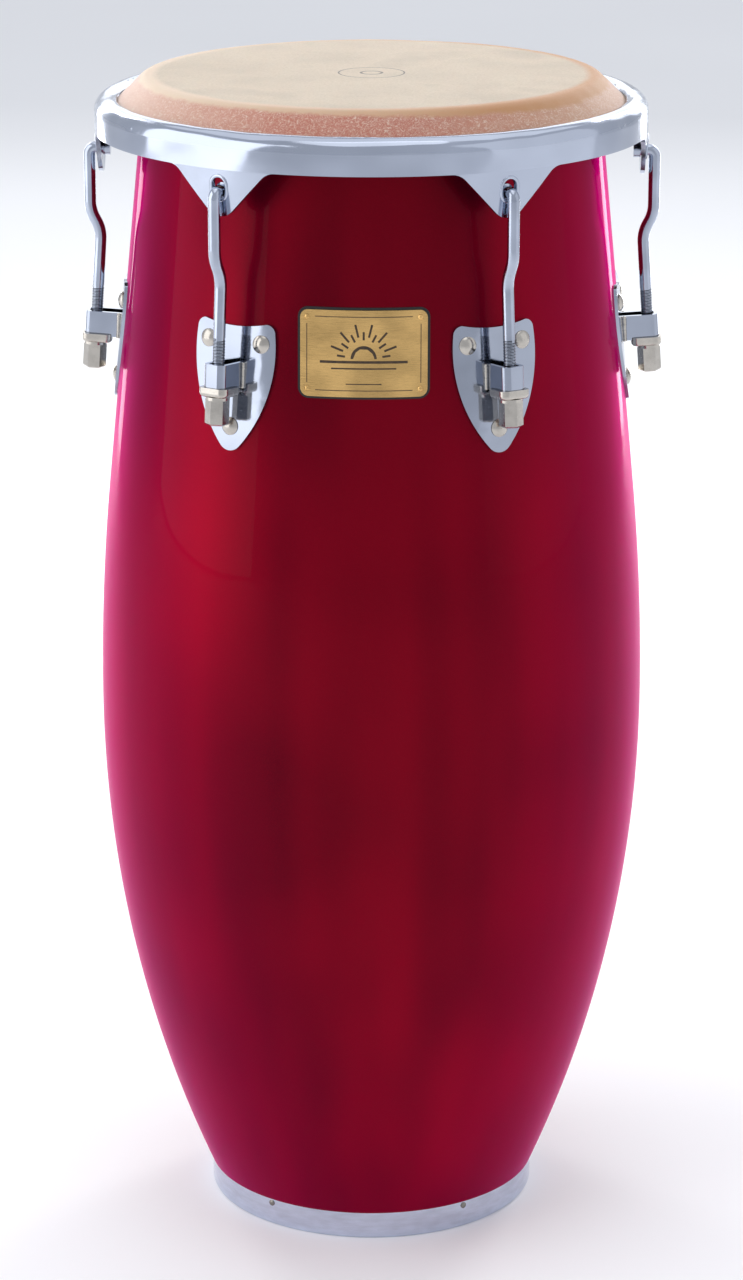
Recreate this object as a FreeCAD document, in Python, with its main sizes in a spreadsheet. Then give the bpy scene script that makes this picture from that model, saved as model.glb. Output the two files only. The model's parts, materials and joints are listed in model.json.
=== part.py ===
"""Conga: staved barrel shell, hide head, steel tension rim, six hooks with nuts, lug plates and badge.

Frame: +Z up, origin on the floor under the middle of the drum. The badge faces -Y. Millimetres and degrees.
"""
import FreeCAD, Part
import math
import os
import Sketcher
from FreeCAD import Vector

SIZES = [
    # overall form
    ("Height", 762, "floor to the top of the skin"),
    ("HeadRadius", 145, "outer radius of the wood at the bearing edge"),
    ("NeckAngle", 5.71, "flare of the straight neck"),
    ("NeckArcRadius", 1450, "long curve from the neck to the belly"),
    ("BellyDrop", 412, "top of the skin down to the widest place"),
    ("FootRadius", 110.4, "outer radius of the wood just above the base ring"),
    ("WallThickness", 10, "stave thickness"),
    ("StaveCount", 12, "staves of the shell"),
    ("EdgeRound", 5, "outer round of the bearing edge"),
    ("EdgeChamfer", 3, "inner chamfer of the bearing edge"),
    # base ring
    ("RingRadius", 109.2, "outside of the base ring"),
    ("RingHeight", 18.3, "height of the base ring"),
    ("RingThickness", 1.2, "sheet of the base ring"),
    ("RingLip", 11.5, "inward lip under the wood, from the outside"),
    ("RingGap", 0.2, "gap between the ring's edge and the wood's step"),
    ("RingScrewDrop", 3.2, "ring's top edge down to the screws"),
    ("RingScrewCount", 5, "screws around the base ring"),
    ("RingScrewHead", 2.1, "radius of a ring screw's head"),
    ("RingScrewShank", 1.1, "radius of a ring screw's shank"),
    # skin and flesh hoop
    ("SkinThickness", 2.2, "hide"),
    ("FoldOffset", 0.3, "fold outside the wood's edge"),
    ("FoldRound", 3, "outer round of the fold"),
    ("HoopOffset", 15.7, "hoop's centre outside the wood's edge"),
    ("HoopDrop", 24, "top of the skin down to the hoop's centre"),
    ("HoopWire", 4, "radius of the hoop's wire"),
    ("HoopGap", 0.3, "hoop to the hide wrapped round it"),
    # tension rim
    ("RimOffset", 32, "rim's outside from the wood's edge"),
    ("RimDrop", 12.5, "top of the skin down to the rim's crest"),
    ("RimRound", 9.5, "outer round of the crest"),
    ("RimBand", 13, "straight band under the round"),
    ("RimThickness", 2.8, "rim sheet"),
    ("RimLipRound", 6, "inner round of the crest"),
    ("RimLipSweep", 60, "how far the inner round turns down"),
    ("EarDrop", 29, "rim's lower edge down to an ear's tip"),
    ("EarLean", 2, "how far an ear's tip leans in"),
    ("EarRoot", 4, "ear's upper end inside the rim's band"),
    ("EarTipRound", 12, "round of an ear's tip"),
    ("EarAngle", 44, "side of an ear from the vertical"),
    ("EarFillet", 12, "fillet between ear and rim"),
    ("EyeGap", 0.7, "rod to the side of an ear's eye"),
    ("EyeRadius", "=RodRadius + EyeGap", "half width of an ear's eye"),
    ("EyeLength", 4.1, "straight part of the eye"),
    ("EyeRise", 11, "ear's tip up to the eye's lower end"),
    # hooks
    ("RodRadius", 3.75, "smooth rod"),
    ("ThreadRelief", 0.25, "thread inside the smooth rod"),
    ("ThreadRadius", "=RodRadius - ThreadRelief", "threaded rod"),
    ("HookSeatGap", 0.7, "rod above the lower end of the eye"),
    ("HookHeadLip", 1.25, "button head outside the rod"),
    ("HookHeadRadius", "=RodRadius + HookHeadLip", "button head behind the ear"),
    ("HookHeadLength", 4.5, "length of the button head"),
    ("HookHeadGap", 1, "button head to the ear"),
    ("HookInnerBend", 0.75, "bend over the ear, on its inner side"),
    ("HookBend", "=RodRadius + HookInnerBend", "bend over the ear, on the rod's axis"),
    ("HookRimGap", 0.65, "hook's vertical run to the rim"),
    ("HookReach", "=RodRadius + HookRimGap", "axis of the vertical run outside the rim"),
    ("CrankDrop", 84, "top of the skin down to the crank"),
    ("CrankAngle", 30, "steepest slant of the crank"),
    ("RodTilt", 4, "slant of the rod's lower run"),
    ("RodStandoff", 15.9, "rod's axis outside the lug plate"),
    ("ThreadTop", 24, "bracket's middle up to the start of the thread"),
    ("RodEnd", 23.5, "bracket's middle down to the rod's end"),
    # lug plate, bracket, cup washer and nut
    ("BracketDrop", 163, "top of the skin down to the bracket's middle"),
    ("PlateThickness", 2, "lug plate"),
    ("PlateHalfWidth", 28.3, "half width of the lug plate"),
    ("PlateRise", 31, "bracket's middle up to the plate's upper corners"),
    ("PlateFall", 49, "bracket's middle down to the plate's tip"),
    ("PlateTopDip", 2.5, "hollow of the plate's upper edge"),
    ("PlateCorner", 6, "round of the plate's upper corners"),
    ("PlateSideRound", 90, "curve of the plate's sides"),
    ("PlateTipRound", 9, "round of the plate's tip"),
    ("PlateTipAngle", 40, "where the side meets the tip's round"),
    ("BoltHalfSpan", 19, "upper bolts to each side"),
    ("BoltRise", 18.5, "bracket's middle up to the upper bolts"),
    ("BoltFall", 34, "bracket's middle down to the lower bolt"),
    ("BoltRadius", 2.9, "bolt shank"),
    ("BoltHeadRadius", 5.65, "bolt head"),
    ("BoltHeadHeight", 3, "bolt head"),
    ("BoltHeadEdge", 0.7, "straight edge of a bolt head"),
    ("BoltHoleGap", 0.1, "bolt shank to its hole"),
    ("BoltSeat", 0.15, "flat seat sunk in a curved plate"),
    ("BoltTail", 1.5, "bolt past its nut"),
    ("BackPlateThickness", 1.5, "backing plate inside the shell"),
    ("BackPlateHalfWidth", 26, "half width of the backing plate"),
    ("BackPlateMargin", 9, "bolt's centre to the backing plate's edge"),
    ("BoltNutFlats", 10, "bolt nut across its flats"),
    ("BoltNutHeight", 4.5, "bolt nut"),
    ("BracketHeight", 16, "bracket"),
    ("BracketWall", 2.6, "strap of the bracket"),
    ("BracketSideGap", 1.4, "threaded rod to the bracket's sides"),
    ("BracketHalfWidth", "=ThreadRadius + BracketSideGap + BracketWall", "half width of the bracket"),
    ("BracketFrontGap", 0.8, "threaded rod to the bracket's front strap"),
    ("BracketFront", "=ThreadRadius + BracketFrontGap + BracketWall", "bracket's front from the rod's axis"),
    ("BracketRound", 4.5, "outer round of the bracket's corners"),
    ("CupWall", 1.2, "lip of the cup washer"),
    ("CupGap", 0.3, "bracket inside the cup's lip"),
    ("CupFloor", 4.3, "floor of the cup washer"),
    ("CupLip", 1.5, "lip above the cup's floor"),
    ("CupDepth", 19.7, "cup washer, front to back"),
    ("CupFlare", 1, "cup washer wider than its lip"),
    ("CupHalfWidth", "=BracketHalfWidth + CupGap + CupWall + CupFlare", "half width of the cup washer"),
    ("CupRound", 2.5, "round of the cup's lower edges"),
    ("CupHoleGap", 1, "threaded rod to the cup's hole"),
    ("NutWall", 3, "threaded rod to a flat of the tuning nut"),
    ("NutFlats", "=2 * (ThreadRadius + NutWall)", "tuning nut across its flats"),
    ("NutLength", 17.7, "tuning nut with its collar"),
    ("NutCollarLip", 1, "collar outside the tuning nut's flats"),
    ("NutCollarRadius", "=NutFlats / 2 + NutCollarLip", "collar of the tuning nut"),
    ("NutCollarHeight", 2, "collar of the tuning nut"),
    ("NutCap", 1.5, "closed end of the tuning nut"),
    ("NutChamfer", 1, "chamfer of the closed end"),
    ("NutThreadGap", 0.05, "threaded rod to the nut's bore"),
    # badge
    ("BadgeDrop", 147, "top of the skin down to the badge's middle"),
    ("BadgeWidth", 78, "badge"),
    ("BadgeHeight", 53, "badge"),
    ("BadgeThickness", 1.2, "badge plate"),
    ("BadgeCorner", 5, "round of the badge's corners"),
    ("BadgeBorder", 1.5, "backing showing round the badge"),
    ("BadgeBacking", 0.6, "backing under the badge"),
    ("BadgeScrewInset", 4.6, "screw's centre from the badge's edges"),
    ("BadgeScrewHead", 1.7, "radius of a badge screw's head"),
    ("BadgeScrewShank", 0.9, "radius of a badge screw's shank"),
    ("SmallScrewHead", 1.1, "height of a small screw's head"),
    ("SmallScrewEdge", "=SmallScrewHead / 4", "straight edge of a small screw's head"),
    ("SmallScrewRoom", 1.1, "hole past the tip of a small screw"),
    ("SmallScrewLength", 8, "small screw in the wood"),
    ("SmallScrewGap", 0.05, "small screw to its hole"),
]

# azimuth of each lug from +X, in degrees: the front is at -90
LUGS = {
    "front_left": -120,
    "front_right": -60,
    "side_left": 180,
    "side_right": 0,
    "back_left": 120,
    "back_right": 60,
}
FRONT = -90

# least volume in cubic millimetres that a pocket takes, and how level an edge's ends are
LEAST_CUT = 1
LEVEL = 1e-6

doc = FreeCAD.newDocument("Conga")
sheet = doc.addObject("Spreadsheet::Sheet", "Sizes")
for row, (alias, value, note) in enumerate(SIZES, start=1):
    sheet.set(f"A{row}", alias)
    sheet.set(f"B{row}", str(value))
    sheet.set(f"C{row}", note)
    sheet.setAlias(f"B{row}", alias)
doc.recompute()

SUBPARTS = []


# ---- expressions on the sheet ----

def size(alias):
    """The expression that reads one cell."""
    return f"Sizes.{alias}"


def number(expression):
    """The value of an expression, as a plain number."""
    value = sheet.evalExpression(str(expression))
    return float(getattr(value, "Value", value))


NECK_TAN = "tan(Sizes.NeckAngle)"
NECK_COS = "cos(Sizes.NeckAngle)"
EDGE_Z = "(Sizes.Height - Sizes.SkinThickness)"
BELLY_Z = "(Sizes.Height - Sizes.BellyDrop)"
HOOP_Z = "(Sizes.Height - Sizes.HoopDrop)"
HOOP_R = "(Sizes.HeadRadius + Sizes.HoopOffset)"
RIM_R = "(Sizes.HeadRadius + Sizes.RimOffset)"
CREST_Z = "(Sizes.Height - Sizes.RimDrop)"
RIM_ROUND_Z = f"({CREST_Z} - Sizes.RimRound)"
RIM_BOTTOM_Z = f"({RIM_ROUND_Z} - Sizes.RimBand)"
EAR_TIP_Z = f"({RIM_BOTTOM_Z} - Sizes.EarDrop)"
EYE_Z = f"({EAR_TIP_Z} + Sizes.EyeRise + Sizes.EyeRadius)"
BRACKET_Z = "(Sizes.Height - Sizes.BracketDrop)"
BADGE_Z = "(Sizes.Height - Sizes.BadgeDrop)"
HOOK_Z = f"({EAR_TIP_Z} + Sizes.EyeRise + Sizes.HookSeatGap + Sizes.RodRadius)"


def neck_radius(z):
    """Outer radius of the straight neck at a height."""
    return f"(Sizes.HeadRadius + ({EDGE_Z} - {z}) * {NECK_TAN})"


def neck_layer(z, out):
    """Radius at a height of the surface that lies a distance outside the neck."""
    return f"({neck_radius(z)} + ({out}) / {NECK_COS})"


ROD_R = f"({neck_layer(BRACKET_Z, size('PlateThickness'))} + Sizes.RodStandoff)"


# ---- placements ----

def turned(azimuth):
    """A piece drawn at azimuth 0, turned about the drum's axis."""
    return f"placement(vector(0; 0; 0); rotationz({azimuth}))"


def pointing_out(azimuth, radius, z, tilt):
    """Local Z points away from the drum's axis, raised by a tilt, at a radius and height."""
    return f"{turned(azimuth)} * placement(vector({radius}; 0; {z}); rotationy(90 - ({tilt})))"


def on_neck(azimuth, z):
    """Local Z is the neck's outward normal, with the origin on the wood."""
    return pointing_out(azimuth, neck_radius(z), z, size("NeckAngle"))


def on_rod(azimuth, shift="0"):
    """Local Z runs up a hook's lower rod, with the origin at the bracket's middle plus a shift."""
    return (
        f"{turned(azimuth)} * placement(vector({ROD_R}; 0; {BRACKET_Z}); rotationy(-Sizes.RodTilt))"
        f" * placement(vector(0; 0; {shift}); rotationz(0))"
    )


# ---- drawing ----

def new_body(name, placement=None):
    body = doc.addObject("PartDesign::Body", name)
    if placement:
        body.setExpression("Placement", placement)
    return body


def plane(body, role):
    return next(item for item in body.Origin.OriginFeatures if item.Role == role)


def new_sketch(body, role, lift=None):
    """A sketch on one of the body's own planes, moved along its normal by an expression."""
    sketch = body.newObject("Sketcher::SketchObject", f"{body.Name}_sketch")
    sketch.AttachmentSupport = [(plane(body, role), "")]
    sketch.MapMode = "FlatFace"
    if lift:
        sketch.setExpression("AttachmentOffset.Base.z", lift)
    return sketch


def bind(sketch, constraint, expression):
    """Adds a dimension that follows an expression."""
    index = sketch.addConstraint(constraint)
    sketch.setExpression(f"Constraints[{index}]", expression)


def pin(sketch, geometry, corner, point):
    """Ties a segment's start (1), end (2) or centre (3) to a pair of expressions."""
    horizontal, vertical = point
    bind(sketch, Sketcher.Constraint("DistanceX", -1, 1, geometry, corner, number(horizontal)), horizontal)
    bind(sketch, Sketcher.Constraint("DistanceY", -1, 1, geometry, corner, number(vertical)), vertical)


def arc_through(start, end, radius, side):
    """The short arc between two points; side 1 bulges to the right of the way along, -1 to the left."""
    chord = end - start
    middle = (start + end) * 0.5
    normal = Vector(chord.y, -chord.x, 0).normalize() * side
    depth = math.sqrt(max(radius ** 2 - (chord.Length / 2) ** 2, 0))
    crown = middle + normal * (radius - depth)
    return Part.Arc(start, crown, end)


def add_edge(sketch, start, end, curve):
    """Adds a line, or an arc of (radius, side); gives its index and which of its ends comes first."""
    if not curve:
        return sketch.addGeometry(Part.LineSegment(start, end), False), 1, 2
    radius, side = curve
    edge = sketch.addGeometry(arc_through(start, end, number(radius), side), False)
    bind(sketch, Sketcher.Constraint("Radius", edge, number(radius)), radius)
    return (edge, 1, 2) if side > 0 else (edge, 2, 1)


def draw(sketch, path):
    """Draws a closed path; a point (x, y) is reached by a line and (x, y, radius, side) by an arc."""
    spots = [Vector(number(step[0]), number(step[1]), 0) for step in path]
    first = None
    previous = None
    for index in list(range(1, len(path))) + [0]:
        edge, start, end = add_edge(sketch, spots[index - 1], spots[index], path[index][2:])
        if previous is None:
            first = (edge, start)
            pin(sketch, edge, start, path[0][:2])
        else:
            sketch.addConstraint(Sketcher.Constraint("Coincident", *previous, edge, start))
        if index:
            pin(sketch, edge, end, path[index][:2])
        else:
            sketch.addConstraint(Sketcher.Constraint("Coincident", edge, end, *first))
        previous = (edge, end)


def draw_route(sketch, path):
    """Draws an open path in the same way, and gives back how many edges it has."""
    spots = [Vector(number(step[0]), number(step[1]), 0) for step in path]
    previous = None
    for index in range(1, len(path)):
        edge, start, end = add_edge(sketch, spots[index - 1], spots[index], path[index][2:])
        if previous is None:
            pin(sketch, edge, start, path[0][:2])
        else:
            sketch.addConstraint(Sketcher.Constraint("Coincident", *previous, edge, start))
        pin(sketch, edge, end, path[index][:2])
        previous = (edge, end)
    return len(path) - 1


def draw_circle(sketch, centre, radius):
    middle = Vector(number(centre[0]), number(centre[1]), 0)
    edge = sketch.addGeometry(Part.Circle(middle, Vector(0, 0, 1), number(radius)), False)
    pin(sketch, edge, 3, centre)
    bind(sketch, Sketcher.Constraint("Radius", edge, number(radius)), radius)


def mirrored(half):
    """A closed outline from its right half, listed from the lower middle up to the upper middle."""
    path = list(half)
    for index in range(len(half) - 1, 0, -1):
        x, y = half[index - 1][:2]
        path.append((f"-({x})", y) + tuple(half[index][2:]))
    closing = path.pop()
    path[0] = tuple(half[0][:2]) + tuple(closing[2:])
    return path


def revolve(body, path):
    """Turns a path drawn in the XZ plane about the body's Z axis."""
    sketch = new_sketch(body, "XZ_Plane")
    draw(sketch, path)
    feature = body.newObject("PartDesign::Revolution", f"{body.Name}_turned")
    feature.Profile = sketch
    feature.ReferenceAxis = (plane(body, "Z_Axis"), [""])
    feature.Angle = 360
    return feature


def pad(body, sketch, length, reverse=False, middle=False):
    feature = body.newObject("PartDesign::Pad", f"{body.Name}_pad")
    feature.Profile = sketch
    feature.setExpression("Length", length)
    feature.Reversed = reverse
    feature.Midplane = middle
    return feature


def pocket(body, sketch, length, reverse=False):
    """Cuts a sketch into the body and makes sure that it took something away."""
    doc.recompute()
    before = body.Shape.Volume
    feature = body.newObject("PartDesign::Pocket", f"{body.Name}_pocket")
    feature.Profile = sketch
    feature.setExpression("Length", length)
    feature.Reversed = reverse
    doc.recompute()
    if body.Shape.Volume > before - LEAST_CUT:
        raise RuntimeError(f"{body.Name}: a pocket cut nothing")
    return feature


def dress_low_edges(body, kind, alias, dimension):
    """Fillets or chamfers every edge that lies in the body's lowest plane."""
    doc.recompute()
    tip = body.Tip
    edges = tip.Shape.Edges
    low = min(vertex.Point.z for edge in edges for vertex in edge.Vertexes)
    names = [
        f"Edge{index}"
        for index, edge in enumerate(edges, start=1)
        if all(abs(vertex.Point.z - low) < LEVEL for vertex in edge.Vertexes)
    ]
    feature = body.newObject(f"PartDesign::{kind}", f"{body.Name}_{kind.lower()}")
    feature.Base = (tip, names)
    feature.setExpression(dimension, size(alias))


def cylinder(name, radius, length, placement):
    item = doc.addObject("Part::Cylinder", name)
    item.setExpression("Radius", radius)
    item.setExpression("Height", length)
    item.setExpression("Placement", placement)
    return item


def joined(name, items):
    item = doc.addObject("Part::MultiFuse", name)
    item.Shapes = items
    return item


def grouped(name, items):
    item = doc.addObject("Part::Compound", name)
    item.Links = items
    return item


def cut(name, base, tool):
    item = doc.addObject("Part::Cut", name)
    item.Base = base
    item.Tool = tool
    return item


def common(name, base, tool):
    item = doc.addObject("Part::Common", name)
    item.Base = base
    item.Tool = tool
    return item


def keep(item, name):
    """Gives a sub-part its name."""
    item.Label = name
    SUBPARTS.append(item)


# ---- fasteners in the wood ----

def domed_fastener(name, placement, shank, head, height, edge, seat, tail):
    """A domed head on a plain shank that ends a tail's length under the wood's surface."""
    crown = f"(({head} ^ 2 + ({height} - {edge}) ^ 2) / (2 * ({height} - {edge})))"
    body = new_body(name, placement)
    revolve(body, [
        ("0", f"-({tail})"),
        (shank, f"-({tail})"),
        (shank, seat),
        (head, seat),
        (head, f"{seat} + {edge}"),
        ("0", f"{seat} + {height}", crown, 1),
    ])
    return body


def bolt_places(azimuth):
    """Azimuth and height of the three bolts of a lug plate."""
    high = f"({BRACKET_Z} + Sizes.BoltRise)"
    low = f"({BRACKET_Z} - Sizes.BoltFall)"
    swing = f"asin(Sizes.BoltHalfSpan / {neck_radius(high)}) / 1 deg"
    return [(f"{azimuth} - {swing}", high), (f"{azimuth} + {swing}", high), (str(azimuth), low)]


INNER_FACE = "(Sizes.WallThickness + Sizes.BackPlateThickness)"
BOLT_TAIL = f"({INNER_FACE} + Sizes.BoltNutHeight + Sizes.BoltTail)"
HEAD_SEAT = "(Sizes.PlateThickness - Sizes.BoltSeat)"


def bolt_space(name, azimuth, z):
    """A bolt's hole, with flat seats for its head and its nut sunk in the curved plates."""
    hole = "(Sizes.BoltRadius + Sizes.BoltHoleGap)"
    seat = "(Sizes.BoltHeadRadius + Sizes.BoltHoleGap)"
    nut_seat = f"(-{INNER_FACE} + Sizes.BoltSeat)"
    body = new_body(name, on_neck(azimuth, z))
    revolve(body, [
        ("0", f"-({BOLT_TAIL} + Sizes.BoltTail)"),
        (seat, f"-({BOLT_TAIL} + Sizes.BoltTail)"),
        (seat, nut_seat),
        (hole, nut_seat),
        (hole, HEAD_SEAT),
        (seat, HEAD_SEAT),
        (seat, f"{HEAD_SEAT} + Sizes.BoltHeadHeight"),
        ("0", f"{HEAD_SEAT} + Sizes.BoltHeadHeight"),
    ])
    return body


def bolt(name, azimuth, z):
    return domed_fastener(
        name,
        on_neck(azimuth, z),
        size("BoltRadius"),
        size("BoltHeadRadius"),
        size("BoltHeadHeight"),
        size("BoltHeadEdge"),
        HEAD_SEAT,
        BOLT_TAIL,
    )


def bolt_nut(name, azimuth, z):
    """A plain hexagon nut on the backing plate."""
    body = new_body(name, on_neck(azimuth, z))
    sketch = new_sketch(body, "XY_Plane", f"-{INNER_FACE} + Sizes.BoltSeat")
    corner = "(Sizes.BoltNutFlats / 2 / cos(30))"
    draw(sketch, [(f"{corner} * cos({60 * side})", f"{corner} * sin({60 * side})") for side in range(6)])
    draw_circle(sketch, ("0", "0"), "Sizes.BoltRadius + Sizes.NutThreadGap")
    pad(body, sketch, size("BoltNutHeight"), reverse=True)
    return body


def ring_screw_places():
    count = int(number(size("RingScrewCount")))
    height = "(Sizes.RingHeight - Sizes.RingScrewDrop)"
    return [(FRONT + 180 / count + 360 / count * index, height) for index in range(count)]


def badge_screw_places():
    """Azimuth and height of the badge's four screws."""
    places = []
    for side in (-1, 1):
        for level in (-1, 1):
            z = f"({BADGE_Z} + {level} * (Sizes.BadgeHeight / 2 - Sizes.BadgeScrewInset))"
            swing = f"asin((Sizes.BadgeWidth / 2 - Sizes.BadgeScrewInset) / {neck_radius(z)}) / 1 deg"
            places.append((f"{FRONT} + {side} * {swing}", z))
    return places


BADGE_SEAT = "(Sizes.BadgeBacking + Sizes.BadgeThickness)"


# ---- shell ----

def make_shell(spaces):
    """Barrel: an arc from the foot to the belly, a longer arc to the neck, then a straight flare."""
    angle = size("NeckAngle")
    high_arc = size("NeckArcRadius")
    wall = size("WallThickness")
    tangent_z = f"({BELLY_Z} + {high_arc} * sin({angle}))"
    belly = f"({neck_radius(tangent_z)} + {high_arc} * (1 - {NECK_COS}))"
    foot_z = "(Sizes.RingHeight + Sizes.RingGap)"
    rise = f"({BELLY_Z} - {foot_z})"
    low_arc = f"((({belly} - Sizes.FootRadius) ^ 2 + {rise} ^ 2) / (2 * ({belly} - Sizes.FootRadius)))"
    inner_high = f"({high_arc} - {wall})"
    inner_low = f"({low_arc} - {wall})"
    sole_r = "(Sizes.RingRadius - Sizes.RingThickness)"
    sole_z = size("RingThickness")
    inner_foot = f"({belly} - {low_arc} + sqrt({inner_low} ^ 2 - ({BELLY_Z} - {sole_z}) ^ 2))"
    round_z = f"({EDGE_Z} - Sizes.EdgeRound)"
    chamfer_z = f"({EDGE_Z} - Sizes.EdgeChamfer)"
    inner_edge = neck_layer(chamfer_z, f"-{wall}")
    body = new_body("shell_barrel")
    revolve(body, [
        (sole_r, sole_z),
        (sole_r, foot_z),
        (size("FootRadius"), foot_z),
        (belly, BELLY_Z, low_arc, 1),
        (neck_radius(tangent_z), tangent_z, high_arc, 1),
        (neck_radius(round_z), round_z),
        (f"{neck_radius(round_z)} - Sizes.EdgeRound", EDGE_Z, size("EdgeRound"), 1),
        (f"{inner_edge} + Sizes.EdgeChamfer", EDGE_Z),
        (inner_edge, chamfer_z),
        (
            f"{belly} - {high_arc} + {inner_high} * {NECK_COS}",
            f"{BELLY_Z} + {inner_high} * sin({angle})",
        ),
        (f"{belly} - {wall}", BELLY_Z, inner_high, -1),
        (inner_foot, sole_z, inner_low, -1),
    ])
    bored = cut("shell_bored", body, joined("shell_holes", spaces))
    count = int(number(size("StaveCount")))
    keep(grouped("shell_staves", [make_stave(bored, index) for index in range(count)]), "shell")


def make_stave(bored, index):
    """One glued stave of the barrel. A stave's middle, not a joint, is behind the badge and each lug."""
    share = "(360 / Sizes.StaveCount)"
    name = f"stave_{index + 1}"
    place = turned(f"{share} * ({index} + 0.5)")
    wedge = cylinder(f"{name}_wedge", "2 * Sizes.HeadRadius", size("Height"), place)
    wedge.setExpression("Angle", share)
    return common(name, bored, wedge)


# ---- base ring ----

def ring_screw_hole(name, azimuth, z):
    depth = "(Sizes.SmallScrewLength + Sizes.SmallScrewRoom)"
    start = f"(Sizes.RingRadius - {depth})"
    hole = "Sizes.RingScrewShank + Sizes.SmallScrewGap"
    return cylinder(name, hole, f"{depth} + Sizes.SmallScrewRoom", pointing_out(azimuth, start, z, "0"))


def make_base_ring(holes):
    """A drawn metal band with a lip turned in under the wood."""
    inside = "(Sizes.RingRadius - Sizes.RingThickness)"
    lip = "(Sizes.RingRadius - Sizes.RingLip)"
    body = new_body("ring_band")
    revolve(body, [
        (lip, "0"),
        (inside, "0"),
        (size("RingRadius"), size("RingThickness"), size("RingThickness"), 1),
        (size("RingRadius"), size("RingHeight")),
        (inside, size("RingHeight")),
        (inside, size("RingThickness")),
        (lip, size("RingThickness")),
    ])
    keep(cut("ring_bored", body, joined("ring_holes", holes)), "base_ring")


def make_ring_screws():
    screws = []
    for index, (azimuth, z) in enumerate(ring_screw_places(), start=1):
        screws.append(domed_fastener(
            f"ring_screw_{index}",
            pointing_out(azimuth, size("RingRadius"), z, "0"),
            size("RingScrewShank"),
            size("RingScrewHead"),
            size("SmallScrewHead"),
            size("SmallScrewEdge"),
            "0",
            size("SmallScrewLength"),
        ))
    keep(grouped("ring_screw_group", screws), "base_ring_screws")


# ---- skin and flesh hoop ----

def make_drum_skin():
    """Flat head, a fold over the wood, a slanting skirt, and a wrap under the flesh hoop."""
    top = size("Height")
    hide = size("SkinThickness")
    fold = "(Sizes.HeadRadius + Sizes.FoldOffset)"
    inner = "(Sizes.HoopWire + Sizes.HoopGap)"
    outer = f"({inner} + {hide})"
    across = f"({HOOP_R} - {fold})"
    down = size("HoopDrop")
    slant = f"(atan({down} / {across}) - asin({outer} / sqrt({across} ^ 2 + {down} ^ 2)))"
    sine = f"sin({slant})"
    cosine = f"cos({slant})"
    tangent = f"(Sizes.FoldRound * tan({slant} / 2))"
    fold_end = (f"({fold} + {tangent} * {cosine})", f"({top} - {tangent} * {sine})")
    split = "70"

    def round_hoop(radius, angle):
        return f"{HOOP_R} + {radius} * cos({angle})", f"{HOOP_Z} + {radius} * sin({angle})"

    body = new_body("drum_skin")
    revolve(body, [
        ("0", f"{top} - {hide}"),
        (f"{fold} - {tangent}", f"{top} - {hide}"),
        (
            f"{fold_end[0]} - {hide} * {sine}",
            f"{fold_end[1]} - {hide} * {cosine}",
            f"Sizes.FoldRound - {hide}",
            -1,
        ),
        (f"{HOOP_R} + {inner} * {sine}", f"{HOOP_Z} + {inner} * {cosine}"),
        round_hoop(inner, f"-{split}") + (inner, -1),
        round_hoop(inner, "180") + (inner, -1),
        round_hoop(outer, "180"),
        round_hoop(outer, f"-{split}") + (outer, 1),
        (f"{HOOP_R} + {outer} * {sine}", f"{HOOP_Z} + {outer} * {cosine}", outer, 1),
        fold_end,
        (f"{fold} - {tangent}", top, size("FoldRound"), 1),
        ("0", top),
    ])
    keep(body, "drum_skin")


def make_flesh_hoop():
    hoop = doc.addObject("Part::Torus", "flesh_hoop")
    hoop.setExpression("Radius1", HOOP_R)
    hoop.setExpression("Radius2", size("HoopWire"))
    hoop.setExpression("Placement", f"placement(vector(0; 0; {HOOP_Z}); rotationz(0))")
    keep(hoop, "flesh_hoop")


# ---- tension rim ----

def make_rim_band():
    """The rim's section: a straight band rolled over a crest and down on the flesh hoop."""
    sheet_metal = size("RimThickness")
    centre_r = f"({RIM_R} - Sizes.RimRound)"
    lip_z = f"({CREST_Z} - Sizes.RimLipRound)"
    sweep = size("RimLipSweep")

    def lip(radius):
        return f"{centre_r} - {radius} * sin({sweep})", f"{lip_z} + {radius} * cos({sweep})"

    inner_round = f"(Sizes.RimRound - {sheet_metal})"
    inner_lip = f"(Sizes.RimLipRound - {sheet_metal})"
    body = new_body("rim_band")
    revolve(body, [
        (f"{RIM_R} - {sheet_metal}", RIM_BOTTOM_Z),
        (RIM_R, RIM_BOTTOM_Z),
        (RIM_R, RIM_ROUND_Z),
        (centre_r, CREST_Z, size("RimRound"), 1),
        lip(size("RimLipRound")) + (size("RimLipRound"), 1),
        lip(inner_lip),
        (centre_r, f"{CREST_Z} - {sheet_metal}", inner_lip, -1),
        (f"{RIM_R} - {sheet_metal}", RIM_ROUND_Z, inner_round, -1),
    ])
    return body


def make_ear_band():
    """The conical band that the ears are cut from, leaning in towards their tips."""
    body = new_body("ear_band")
    low = f"({EAR_TIP_Z} - Sizes.EarRoot)"
    high = f"({RIM_BOTTOM_Z} + Sizes.EarRoot)"
    lean = "(Sizes.EarLean / Sizes.EarDrop)"
    low_r = f"({RIM_R} - {lean} * ({RIM_BOTTOM_Z} - {low}))"
    revolve(body, [
        (f"{low_r} - Sizes.RimThickness", low),
        (low_r, low),
        (RIM_R, RIM_BOTTOM_Z),
        (RIM_R, high),
        (f"{RIM_R} - Sizes.RimThickness", high),
        (f"{RIM_R} - Sizes.RimThickness", RIM_BOTTOM_Z),
    ])
    return body


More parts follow.
